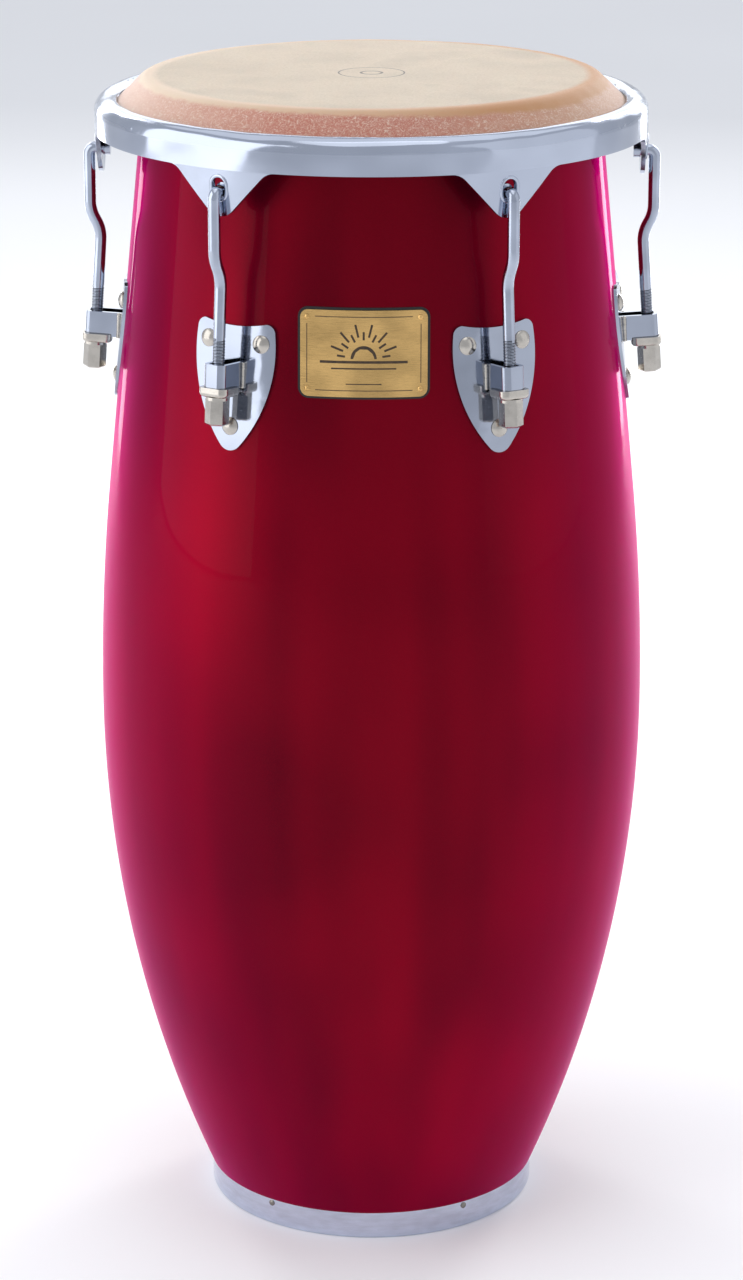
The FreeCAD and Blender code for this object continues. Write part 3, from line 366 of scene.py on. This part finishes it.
def badge_brass(colours):
    """Brushed brass plate: fine scratches across it, warm bright and darker clouds."""
    material, tree, shader, place = new_material("brushed_brass_plate")
    brush = noise_node(tree, place, 6, 4, (1, 1, 25))
    cloud = noise_node(tree, place, 22, 1)
    scratched = ramp(tree, brush, [(0.35, shade(colours.brass, 0.88)), (0.65, shade(colours.brass, 1.2))])
    clouded = ramp(tree, cloud, [(0.35, shade(colours.brass, 0.75)), (0.65, shade(colours.brass, 1.4))])
    tree.links.new(mixed(tree, 0.5, scratched, clouded), shader.inputs["Base Color"])
    tree.links.new(span(tree, brush, 0.3, 0.7, 0.22, 0.38), shader.inputs["Roughness"])
    set_shader(shader, Metallic=1.0)
    add_bump(tree, shader, brush, 0.03, 0.4)
    return material


def engraving_paint():
    """Dark enamel in the badge's engraving."""
    material, tree, shader, place = new_material("dark_enamel_in_engraving")
    cloud = noise_node(tree, place, 3, 2)
    tones = ramp(tree, cloud, [(0.3, colour("#2A1D10")), (0.7, colour("#46331C"))])
    tree.links.new(tones, shader.inputs["Base Color"])
    set_shader(shader, Roughness=0.35)
    return material


def backing_black():
    """Black moulded backing under the badge."""
    material, tree, shader, place = new_material("black_moulded_backing")
    grain = noise_node(tree, place, 1.5, 2)
    tones = ramp(tree, grain, [(0.3, colour("#0B0B0C")), (0.7, colour("#17171A"))])
    tree.links.new(tones, shader.inputs["Base Color"])
    set_shader(shader, Roughness=0.3)
    add_bump(tree, shader, grain, 0.05, 0.3)
    return material


def dry_hide(colours, size, flat_end):
    """Dried hide: cream on top, tan along its fold, pink with pale fibres down the skirt."""
    material, tree, shader, place = new_material("dried_rawhide")
    axes = add_node(tree, "ShaderNodeSeparateXYZ", links={"Vector": place}).outputs
    flat = add_node(tree, "ShaderNodeCombineXYZ", links={"X": axes["X"], "Y": axes["Y"]}).outputs["Vector"]
    radius = add_node(tree, "ShaderNodeVectorMath", {"operation": "LENGTH"}, {0: flat}).outputs["Value"]
    # the borders between the colours wander by about 2 mm
    wander = span(tree, noise_node(tree, place, 12, 6, (1, 1, 1), 0.75), 0, 1, -2.5 * MM, 2.5 * MM)
    level = add_node(tree, "ShaderNodeMath", {"operation": "ADD"}, {0: wander, 1: axes["Z"]}).outputs[0]
    reach = add_node(tree, "ShaderNodeMath", {"operation": "ADD"}, {0: wander, 1: radius}).outputs[0]
    pores = noise_node(tree, place, 1.6, 3, (1, 1, 1), 0.7)
    fibre = noise_node(tree, place, 4, 8, (1, 1, 1), 0.82, 3.5)
    skirt = hide_skirt(tree, colours, axes["X"], level, fibre)
    tan = mixed(tree, span(tree, axes["X"], -0.12, 0.08), colour("#D6BEA4"), colours.hide_fold)
    tan_low = span(tree, axes["X"], 0.0, 0.12, -2.8 * MM, -6 * MM)
    under = add_node(tree, "ShaderNodeMath", {"operation": "SUBTRACT"}, {0: level, 1: tan_low}).outputs[0]
    fold = mixed(tree, span(tree, under, HEAD_TOP - 1 * MM, HEAD_TOP + 1 * MM), skirt, tan)
    top = hide_top(tree, colours, place, pores)
    whole = mixed(tree, span(tree, reach, flat_end - 6 * MM, flat_end - 1 * MM), top, fold)
    inked = mixed(tree, printed_rings(tree, radius, size.mark_radius), whole, colour("#4A4038"))
    tree.links.new(inked, shader.inputs["Base Color"])
    tree.links.new(span(tree, pores, 0.3, 0.7, 0.5, 0.72), shader.inputs["Roughness"])
    set_shader(shader, Subsurface_Weight=0.12, Subsurface_Scale=4 * MM)
    set_shader(shader, Sheen_Weight=0.15, Sheen_Roughness=0.5)
    add_bump(tree, shader, mixed(tree, 0.5, pores, fibre), 0.35, 0.45)
    return material


def hide_top(tree, colours, place, pores):
    """Cream of the scraped side: slow clouds and fine darker pores."""
    cloud = noise_node(tree, place, 55, 3)
    tones = [(0.3, 0.95), (0.55, 1.1), (0.75, 0.9)]
    cream = ramp(tree, cloud, [(stop, shade(colours.hide_top, factor)) for stop, factor in tones])
    return mixed(tree, span(tree, pores, 0.45, 0.8, 0.0, 0.45), cream, shade(colours.hide_top, 0.7))


def hide_skirt(tree, colours, across, level, fibre):
    """The stretched sides: pale at the left, pink at the front, tan at the right, with pale fibres."""
    blush = mixed(tree, span(tree, across, -0.17, -0.05), colour("#D3B09C"), colours.hide_flesh)
    tanned = mixed(tree, span(tree, across, 0.03, 0.13), blush, colour("#C19377"))
    fleshed = mixed(tree, span(tree, fibre, 0.50, 0.60, 0.0, 0.85), tanned, colour("#DCC8B6"))
    above_rim = span(tree, level, HEAD_TOP - 21 * MM, HEAD_TOP - 15 * MM)
    return mixed(tree, above_rim, colour("#D8CCB8"), fleshed)


def printed_rings(tree, radius, outer):
    """Two thin printed rings round the middle of the head: 1 where there is ink."""
    total = 0.0
    for ring, half_line in ((outer, 0.55 * MM), (outer * 0.32, 0.9 * MM)):
        # Compare is 1 within half a line of the ring
        compared = {"operation": "COMPARE", 1: ring, 2: half_line}
        inked = add_node(tree, "ShaderNodeMath", compared, {0: radius})
        both = add_node(tree, "ShaderNodeMath", {"operation": "MAXIMUM", 1: 0.0}, {0: inked.outputs[0]})
        if total:
            tree.links.new(total, both.inputs[1])
        total = both.outputs[0]
    return add_node(tree, "ShaderNodeMath", {"operation": "MULTIPLY", 1: 0.85}, {0: total}).outputs[0]


# ---- mesh helpers ----

def new_piece(name, bm, materials, body, smooth_angle=35):
    """Makes an object of a bmesh, smooth but for its sharp edges, and rides it on a body."""
    mesh = bpy.data.meshes.new(name)
    bm.to_mesh(mesh)
    bm.free()
    piece = bpy.data.objects.new(name, mesh)
    bpy.context.scene.collection.objects.link(piece)
    for material in materials:
        mesh.materials.append(material)
    mesh.shade_smooth()
    mesh.set_sharp_from_angle(angle=math.radians(smooth_angle))
    if body:
        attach(piece, body)
    return piece


class Section:
    """A line in the XZ plane, grown point by point, that a spin turns into a surface."""

    def __init__(self, radius, height):
        self.bm = bmesh.new()
        self.last = self.bm.verts.new((radius, 0, height))

    def line(self, radius, height, steps=1):
        """Runs straight to a place in a number of steps."""
        start = self.last.co.copy()
        end = Vector((radius, 0, height))
        for step in range(1, steps + 1):
            made = bmesh.ops.extrude_vert_indiv(self.bm, verts=[self.last])["verts"][0]
            made.co = start.lerp(end, step / steps)
            self.last = made
        return self

    def arc(self, radius, height, degrees, steps):
        """Swings round a centre; positive degrees turn from +Z towards +X."""
        swung = bmesh.ops.spin(
            self.bm, geom=[self.last], axis=(0, 1, 0), cent=(radius, 0, height),
            angle=math.radians(degrees), steps=steps, use_duplicate=False,
        )
        self.last = next(item for item in swung["geom_last"] if isinstance(item, bmesh.types.BMVert))
        return self

    def turned(self, steps):
        """Turns the line about the drum's axis into a closed surface, facing outwards."""
        bm = self.bm
        bmesh.ops.spin(bm, geom=bm.verts[:] + bm.edges[:], axis=(0, 0, 1), cent=(0, 0, 0),
                       angle=2 * math.pi, steps=steps, use_merge=True, use_duplicate=False)
        bmesh.ops.remove_doubles(bm, verts=bm.verts, dist=1e-6)
        bmesh.ops.recalc_face_normals(bm, faces=bm.faces)
        return bm


def turn(azimuth):
    """Turns about the drum's axis, in degrees."""
    return Matrix.Rotation(math.radians(azimuth), 4, "Z")


def rod_frame(azimuth, rod_radius, height, tilt):
    """Matrix whose Z runs up a hook's lower rod, with its origin at the bracket's middle."""
    lean = Matrix.Rotation(-tilt, 4, "Y")
    return turn(azimuth) @ Matrix.Translation((rod_radius, 0, height)) @ lean


def joint_frame(name):
    """The same frame, read from the joint that the nut turns on."""
    joint = next(item for item in frame["joints"] if item["name"] == f"nut_turn_{name}")
    place = Vector(joint["pos_m"])
    axis = Vector(joint["axis"]).normalized()
    tilt = math.acos(axis.z)
    return rod_frame(LUGS[name], math.hypot(place.x, place.y), place.z, tilt)


def add_mesh(target, source, matrix):
    """Copies a bmesh into another, moved by a matrix."""
    spare = bpy.data.meshes.new("spare")
    source.to_mesh(spare)
    spare.transform(matrix)
    target.from_mesh(spare)
    bpy.data.meshes.remove(spare)


# ---- operators ----

class CONGA_OT_barrel(bpy.types.Operator):
    """Spin the barrel: lacquered outside, bare wood inside and on its edges"""
    bl_idname = "conga.barrel"
    bl_label = "Barrel"

    def execute(self, context):
        size = context.scene.conga_barrel
        colours = context.scene.conga_colours
        ring_gap = 0.2 * MM
        ring_sheet = 1.2 * MM
        chamfer = 3 * MM
        edge_z = SHELL_HIGH[2]
        sole_z = SHELL_LOW[2]
        step_z = RING_HIGH[2] + ring_gap
        sole_r = RING_HIGH[0] - ring_sheet
        angle = size.neck_angle
        belly_z = HEAD_TOP - size.belly_drop
        curve_top = belly_z + size.upper_curve * math.sin(angle)
        curve_r = size.neck_radius + (edge_z - curve_top) * math.tan(angle)
        belly = curve_r + size.upper_curve * (1 - math.cos(angle))
        across = belly - size.foot_radius
        rise = belly_z - step_z
        lower_curve = (across ** 2 + rise ** 2) / (2 * across)
        sweep = math.degrees(math.asin(rise / lower_curve))
        inner_curve = lower_curve - size.wall
        inner_sweep = math.degrees(math.asin((belly_z - sole_z) / inner_curve))
        round_z = edge_z - size.edge_round
        round_r = size.neck_radius + size.edge_round * math.tan(angle)
        inner_r = size.neck_radius - size.wall / math.cos(angle)
        section = Section(sole_r, sole_z)
        section.line(sole_r, step_z).line(size.foot_radius, step_z)
        section.arc(belly - lower_curve, belly_z, -sweep, 40)
        section.arc(belly - size.upper_curve, belly_z, -math.degrees(angle), 16)
        section.line(round_r, round_z, 20)
        section.arc(round_r - size.edge_round, round_z, -90, 6)
        section.line(inner_r + chamfer, edge_z).line(inner_r, edge_z - chamfer)
        section.line(curve_r - size.wall * math.cos(angle), curve_top - size.wall * math.sin(angle), 12)
        section.arc(belly - size.upper_curve, belly_z, math.degrees(angle), 12)
        section.arc(belly - lower_curve, belly_z, inner_sweep, 30)
        section.line(sole_r, sole_z)
        bm = section.turned(192)
        for face in bm.faces:
            middle = face.calc_center_median()
            outward = face.normal.dot(Vector((middle.x, middle.y, 0)).normalized())
            face.material_index = 0 if outward > 0.3 and middle.z > step_z else 1
        finishes = [candy_lacquer(colours), bare_wood(colours)]
        piece = new_piece("barrel", bm, finishes, "shell")
        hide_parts("shell")
        return {"FINISHED"}


class CONGA_OT_head(bpy.types.Operator):
    """Stretch the hide: a flat head, a soft fold, a skirt and its wrap round the flesh hoop"""
    bl_idname = "conga.head"
    bl_label = "Head"

    def execute(self, context):
        size = context.scene.conga_skin
        hoop_r = (HOOP_HIGH[0] + HOOP_HIGH[0] - (HOOP_HIGH[2] - HOOP_LOW[2])) / 2
        hoop_z = (HOOP_LOW[2] + HOOP_HIGH[2]) / 2
        across = hoop_r - size.fold_radius
        down = HEAD_TOP - hoop_z
        slant = math.atan2(down, across) - math.asin(size.wrap / math.hypot(across, down))
        tangent = size.fold_round * math.tan(slant / 2)
        flat_end = size.fold_radius - tangent
        skirt_start = (size.fold_radius + tangent * math.cos(slant), HEAD_TOP - tangent * math.sin(slant))
        skirt_end = (hoop_r + size.wrap * math.sin(slant), hoop_z + size.wrap * math.cos(slant))
        section = Section(0, HEAD_TOP)
        section.line(0.02, HEAD_TOP, 3).line(flat_end, HEAD_TOP, 26)
        section.arc(flat_end, HEAD_TOP - size.fold_round, math.degrees(slant), 7)
        section.line(*skirt_end, 14)
        section.arc(hoop_r, hoop_z, 225, 18)
        bm = section.turned(300)
        for vert in bm.verts:
            vert.co += hide_unevenness(vert.co, size, skirt_start, hoop_z)
        # above the hoop the hide's outer side is up
        for face in bm.faces:
            if face.normal.z < 0 and face.calc_center_median().z > hoop_z + size.wrap:
                face.normal_flip()
        hide = dry_hide(context.scene.conga_colours, size, flat_end)
        piece = new_piece("hide_head", bm, [hide], None, 80)
        wall = piece.modifiers.new("hide", "SOLIDIFY")
        wall.thickness = size.thickness
        wall.offset = -1
        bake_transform(piece)
        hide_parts("drum_skin")
        return {"FINISHED"}


def hide_unevenness(place, size, skirt_start, hoop_z):
    """How far a point of the hide lies off its even form: slow waves, and puckers down the skirt."""
    radius = math.hypot(place.x, place.y)
    if radius < 1e-6:
        return Vector((0, 0, 0))
    outward = Vector((place.x, place.y, 0)) / radius
    slow = noise.noise(place * 18)
    if radius < size.fold_radius - 12 * MM:
        return Vector((0, 0, -0.25 * MM * abs(slow)))
    depth = min(max((skirt_start[1] - place.z) / (skirt_start[1] - hoop_z), 0), 1)
    fade = 1 - min(max((depth - 0.45) / 0.3, 0), 1)
    angle = math.atan2(place.y, place.x)
    pucker = noise.noise(Vector((math.cos(angle), math.sin(angle), depth * 0.4)) * 14)
    fine = noise.noise(place * 160)
    push = fade * (0.55 * slow + 0.35 * pucker + 0.12 * fine) * MM
    return outward * push + Vector((0, 0, -0.4 * MM * fade * abs(slow)))


class CONGA_OT_rim(bpy.types.Operator):
    """Chrome the rim and raise a lip round each ear's eye"""
    bl_idname = "conga.rim"
    bl_label = "Rim"

    def execute(self, context):
        size = context.scene.conga_hardware
        chrome = rim_chrome(context.scene.conga_colours)
        paint_node("tension_rim", chrome)
        ear_drop = 29 * MM
        eye_rise = 15.45 * MM
        lean = 2 / 29
        sunk = 0.15 * MM
        out = RIM_HIGH[0] - lean * (ear_drop - eye_rise) - sunk
        tilt = Matrix.Rotation(math.atan(lean), 4, "Y")
        place = Matrix.Translation((out, 0, RIM_LOW[2] + eye_rise)) @ tilt
        lip = eye_lip(size)
        together = bmesh.new()
        for azimuth in LUGS.values():
            add_mesh(together, lip, turn(azimuth) @ place)
        lip.free()
        new_piece("eye_lips", together, [chrome], "rim", 60)
        return {"FINISHED"}


def eye_lip(size):
    """A round lip swept about an eye that faces +X, drawn out along the eye's straight sides."""
    lip = bmesh.new()
    side = Matrix.Translation((0, size.eye_half_width, 0))
    bmesh.ops.create_circle(lip, segments=10, radius=size.lip_radius, matrix=side)
    bmesh.ops.spin(lip, geom=lip.verts[:] + lip.edges[:], axis=(1, 0, 0), cent=(0, 0, 0),
                   angle=2 * math.pi, steps=40, use_merge=True, use_duplicate=False)
    bmesh.ops.remove_doubles(lip, verts=lip.verts, dist=1e-6)
    flatter = 0.75
    for vert in lip.verts:
        if vert.co.z > 0.05 * MM:
            vert.co.z += size.eye_straight
        vert.co.x *= flatter
    bmesh.ops.recalc_face_normals(lip, faces=lip.faces)
    return lip


def paint_node(name, material):
    """Gives a carried-over piece its material."""
    mesh = NODES[name].data
    mesh.materials.clear()
    mesh.materials.append(material)


class CONGA_OT_hooks(bpy.types.Operator):
    """Chrome the hooks and cut their threads"""
    bl_idname = "conga.hooks"
    bl_label = "Hooks"

    def execute(self, context):
        size = context.scene.conga_hardware
        chrome = rod_chrome(context.scene.conga_colours)
        # the thread's flanks get chrome darkened as painted shade for the grooves
        steel = thread_painted_shade(context.scene.conga_colours)
        for name in LUGS:
            paint_node(f"tension_hook_{name}", chrome)
            bm = rod_thread(size)
            bmesh.ops.transform(bm, matrix=joint_frame(name), verts=bm.verts)
            new_piece(f"rod_thread_{name}", bm, [steel, chrome], f"hook_{name}", 30)
        return {"FINISHED"}


def rod_thread(size):
    """The ridge of a thread about the Z axis: painted groove shade on its flanks, the rod's chrome on its
    crest.
    """
    low = -7.5 * MM
    high = 24 * MM
    steps = 18
    turns = int((high - low) / size.thread_pitch)
    half = size.thread_pitch / 2
    outline = (
        (size.thread_root, low),
        (size.thread_radius, low + 0.8 * half),
        (size.thread_radius, low + 1.2 * half),
        (size.thread_root, low + 2 * half),
    )
    bm = bmesh.new()
    profile = [bm.verts.new((radius, 0, height)) for radius, height in outline]
    edges = [bm.edges.new(pair) for pair in zip(profile, profile[1:])]
    bmesh.ops.spin(bm, geom=profile + edges, axis=(0, 0, 1), cent=(0, 0, 0),
                   dvec=(0, 0, size.thread_pitch / steps), angle=2 * math.pi * turns,
                   steps=steps * turns, use_merge=False, use_duplicate=False)
    bmesh.ops.remove_doubles(bm, verts=bm.verts, dist=1e-6)
    bmesh.ops.recalc_face_normals(bm, faces=bm.faces)
    # flanks take the painted groove shade, crests the rod's chrome
    for face in bm.faces:
        face.material_index = 1 if abs(face.normal.z) < 0.3 else 0
    return bm


class CONGA_OT_lugs(bpy.types.Operator):
    """Finish the lug plates, brackets, bolts, cup washers and nuts, and lay the weld beads"""
    bl_idname = "conga.lugs"
    bl_label = "Lugs"

    def execute(self, context):
        size = context.scene.conga_hardware
        colours = context.scene.conga_colours
        chrome = plate_chrome(colours)
        warm = nickel(colours)
        coated = zinc(colours)
        paint_node("lug_bolt_nuts", coated)
        beads = bmesh.new()
        bead_back = 15.2 * MM
        bead_side = 8.3 * MM
        for name in LUGS:
            paint_node(f"lug_plate_{name}", chrome)
            paint_node(f"lug_bracket_{name}", chrome)
            paint_node(f"lug_bolts_{name}", warm)
            paint_node(f"cup_washer_{name}", warm)
            paint_node(f"tuning_nut_{name}", warm)
            paint_node(f"backing_plate_{name}", coated)
            for side in (-1, 1):
                bead = weld_bead(size.bead_radius, size.bead_length, side)
                place = Matrix.Translation((-bead_back, side * bead_side, 0))
                add_mesh(beads, bead, joint_frame(name) @ place)
                bead.free()
        new_piece("weld_beads", beads, [warm], "shell", 60)
        return {"FINISHED"}


def weld_bead(radius, length, side):
    """An upright bead with the ripples of a run of weld; the two sides ripple differently."""
    section = Section(0, -length / 2)
    section.line(radius * 0.8, -length / 2 + 0.4 * MM).line(radius, length / 2 - 0.8 * MM, 22)
    section.line(0, length / 2)
    bm = section.turned(10)
    for vert in bm.verts:
        even = 0.14 * math.sin(vert.co.z / MM * 3.4)
        uneven = 0.12 * noise.noise(vert.co * 400 + Vector((side, 0, 0)))
        ripple = 1 + even + uneven
        vert.co.x *= ripple
        vert.co.y *= ripple * 0.8
    return bm


class CONGA_OT_foot(bpy.types.Operator):
    """Finish the base ring and its screws"""
    bl_idname = "conga.foot"
    bl_label = "Foot"

    def execute(self, context):
        colours = context.scene.conga_colours
        paint_node("base_ring", ring_chrome(colours))
        paint_node("base_ring_screws", darkened_screw_plating(colours))
        paint_node("flesh_hoop", zinc(colours))
        return {"FINISHED"}


class CONGA_OT_badge(bpy.types.Operator):
    """Finish the badge and engrave a plain sunburst and rules on it"""
    bl_idname = "conga.badge"
    bl_label = "Badge"

    def execute(self, context):
        brass = badge_brass(context.scene.conga_colours)
        paint_node("badge_plate", brass)
        paint_node("badge_backing", backing_black())
        paint_node("badge_screws", brass)
        low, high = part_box("badge_plate")
        middle_z = (low[2] + high[2]) / 2
        flat = bmesh.new()
        engrave_sunburst(flat, -3)
        engrave_rules(flat)
        for vert in flat.verts:
            wrap_on_neck(vert, middle_z)
        bmesh.ops.recalc_face_normals(flat, faces=flat.faces)
        new_piece("badge_engraving", flat, [engraving_paint()], "shell", 30)
        return {"FINISHED"}


def bar(bm, x, y, length, width, angle=0.0):
    """A thin flat bar at a place, all in millimetres, divided so that it can follow a curve."""
    place = Matrix.Translation((x * MM, y * MM, 0)) @ Matrix.Rotation(angle, 4, "Z")
    bmesh.ops.create_grid(bm, x_segments=8, y_segments=1, size=0.5,
                          matrix=place @ Matrix.Diagonal((length * MM, width * MM, 1, 1)))


def engrave_sunburst(bm, height):
    """A half sun with its flat side at a height in millimetres, and long and short rays round it."""
    rays = 13
    for index in range(rays):
        angle = math.pi * (index + 0.5) / rays
        reach, length = (17.5, 8) if index % 2 else (14, 5)
        bar(bm, math.cos(angle) * reach, math.sin(angle) * reach + height, length, 1.3, angle)
    half_disc = bmesh.new()
    bmesh.ops.create_circle(half_disc, cap_ends=True, segments=48, radius=8 * MM)
    bmesh.ops.bisect_plane(half_disc, geom=half_disc.verts[:] + half_disc.edges[:] + half_disc.faces[:],
                           plane_co=(0, 0, 0), plane_no=(0, 1, 0), clear_inner=True)
    add_mesh(bm, half_disc, Matrix.Translation((0, height * MM, 0)))
    half_disc.free()


def engrave_rules(bm):
    """Rules under the sun and a thin border inside the plate's edge."""
    for y, length, width in ((-5, 54, 1.6), (-9, 40, 0.9), (-18.5, 22, 0.6)):
        bar(bm, 0, y, length, width)
    for side in (-1, 1):
        bar(bm, 0, side * 22.5, 60, 0.5)
        bar(bm, side * 35.2, 0, 36, 0.5, math.pi / 2)


def wrap_on_neck(vert, middle_z):
    """Lays a flat point just over the badge's face, which is a piece of a cone."""
    barrel = bpy.context.scene.conga_barrel
    face = 1.87 * MM
    z = middle_z + vert.co.y
    radius = barrel.neck_radius + (SHELL_HIGH[2] - z) * math.tan(barrel.neck_angle) + face
    angle = vert.co.x / radius
    vert.co = (radius * math.sin(angle), -radius * math.cos(angle), z)


class CONGA_OT_stage(bpy.types.Operator):
    """Lay the floor, hang the lights and set the camera"""
    bl_idname = "conga.stage"
    bl_label = "Stage"

    def execute(self, context):
        scene = context.scene
        lay_floor(scene)
        world = bpy.data.worlds.new("studio")
        world.use_nodes = True
        background = world.node_tree.nodes["Background"]
        background.inputs["Color"].default_value = colour("#E6EAF2")
        background.inputs["Strength"].default_value = 0.8
        scene.world = world
        scene.view_settings.view_transform = "Standard"
        # name, place, target, width and height in metres, and watts
        lights = (
            ("side_left", (-2.6, -0.7, 1.5), (0, 0, 0.4), (3.2, 3.2), 46),
            ("side_right", (2.6, -0.6, 1.5), (0, 0, 0.4), (3.2, 3.2), 9),
            ("edge_left", (-1.3, 2.0, 1.0), (0, 0, 0.5), (0.35, 2.2), 18),
            ("edge_right", (1.2, 2.2, 1.0), (0, 0, 0.5), (0.35, 2.2), 24),
            ("back", (0.3, 3.6, 2.1), (0, 0, 0.75), (5.0, 1.8), 34),
            ("above", (0, 0.9, 3.4), (0, 0, 0.7), (3.6, 2.4), 14),
        )
        for light in lights:
            add_light(*light)
        add_sun(0.3, 40)
        set_camera(scene)
        return {"FINISHED"}


def lay_floor(scene):
    """A pale paper sweep, wide enough to reach the horizon from every side."""
    bm = bmesh.new()
    bmesh.ops.create_grid(bm, x_segments=1, y_segments=1, size=60)
    mesh = bpy.data.meshes.new("floor")
    bm.to_mesh(mesh)
    bm.free()
    floor = bpy.data.objects.new("floor", mesh)
    scene.collection.objects.link(floor)
    material, tree, shader, place = new_material("pale_paper_sweep")
    cloud = noise_node(tree, place, 900, 1)
    tones = ramp(tree, cloud, [(0.3, colour("#F4F4F5")), (0.7, colour("#F7F7F8"))])
    tree.links.new(tones, shader.inputs["Base Color"])
    set_shader(shader, Roughness=0.9)
    mesh.materials.append(material)


def add_light(name, place, target, size, power):
    """A soft rectangular light that faces a target."""
    light = bpy.data.lights.new(name, "AREA")
    light.shape = "RECTANGLE"
    light.size, light.size_y = size
    light.energy = power
    lamp = bpy.data.objects.new(name, light)
    lamp.location = place
    lamp.rotation_euler = (Vector(target) - Vector(place)).to_track_quat("-Z", "Y").to_euler()
    lamp.visible_camera = False
    bpy.context.scene.collection.objects.link(lamp)


def add_sun(strength, angle):
    """A wide soft light straight overhead, which lights the floor evenly."""
    light = bpy.data.lights.new("overhead", "SUN")
    light.energy = strength
    light.angle = math.radians(angle)
    lamp = bpy.data.objects.new("overhead", light)
    lamp.rotation_euler = (math.radians(12), 0, 0)
    bpy.context.scene.collection.objects.link(lamp)


def set_camera(scene):
    """Stands the camera a little to the right, above the drum, looking down at its middle."""
    swing = math.radians(1.7)
    dip = math.radians(16.94)
    distance = 2.567
    height = 1.1655
    camera = bpy.data.cameras.new("camera")
    camera.lens = 113.46
    camera.sensor_width = 36
    eye = bpy.data.objects.new("camera", camera)
    eye.location = (distance * math.sin(swing), -distance * math.cos(swing), height)
    eye.rotation_euler = (math.radians(90) - dip, 0, swing)
    scene.collection.objects.link(eye)
    scene.camera = eye


class CONGA_PT_panel(bpy.types.Panel):
    """Sizes and steps of the conga, in the 3D view's sidebar"""
    bl_label = "Conga"
    bl_idname = "CONGA_PT_panel"
    bl_space_type = "VIEW_3D"
    bl_region_type = "UI"
    bl_category = "Conga"

    def draw(self, context):
        layout = self.layout
        for group_name, group in GROUPS.items():
            box = layout.box()
            for name in group.__annotations__:
                box.prop(getattr(context.scene, group_name), name)
        for step in STEPS:
            layout.operator(step.bl_idname)


STEPS = (
    CONGA_OT_stage,
    CONGA_OT_barrel,
    CONGA_OT_head,
    CONGA_OT_rim,
    CONGA_OT_hooks,
    CONGA_OT_lugs,
    CONGA_OT_foot,
    CONGA_OT_badge,
)
GROUPS = {
    "conga_barrel": BarrelSizes,
    "conga_skin": SkinSizes,
    "conga_hardware": HardwareSizes,
    "conga_colours": FinishColours,
}


def register():
    """Adds the groups, the steps and the panel to Blender."""
    for name, group in GROUPS.items():
        bpy.utils.register_class(group)
        setattr(bpy.types.Scene, name, PointerProperty(type=group))
    for item in STEPS + (CONGA_PT_panel,):
        bpy.utils.register_class(item)


def unregister():
    """Takes them out again."""
    for item in reversed(STEPS + (CONGA_PT_panel,)):
        bpy.utils.unregister_class(item)
    for name, group in GROUPS.items():
        delattr(bpy.types.Scene, name)
        bpy.utils.unregister_class(group)


def main():
    """Makes the whole drum."""
    register()
    for step in STEPS:
        section, name = step.bl_idname.split(".")
        getattr(getattr(bpy.ops, section), name)()


if __name__ == "__main__":
    main()
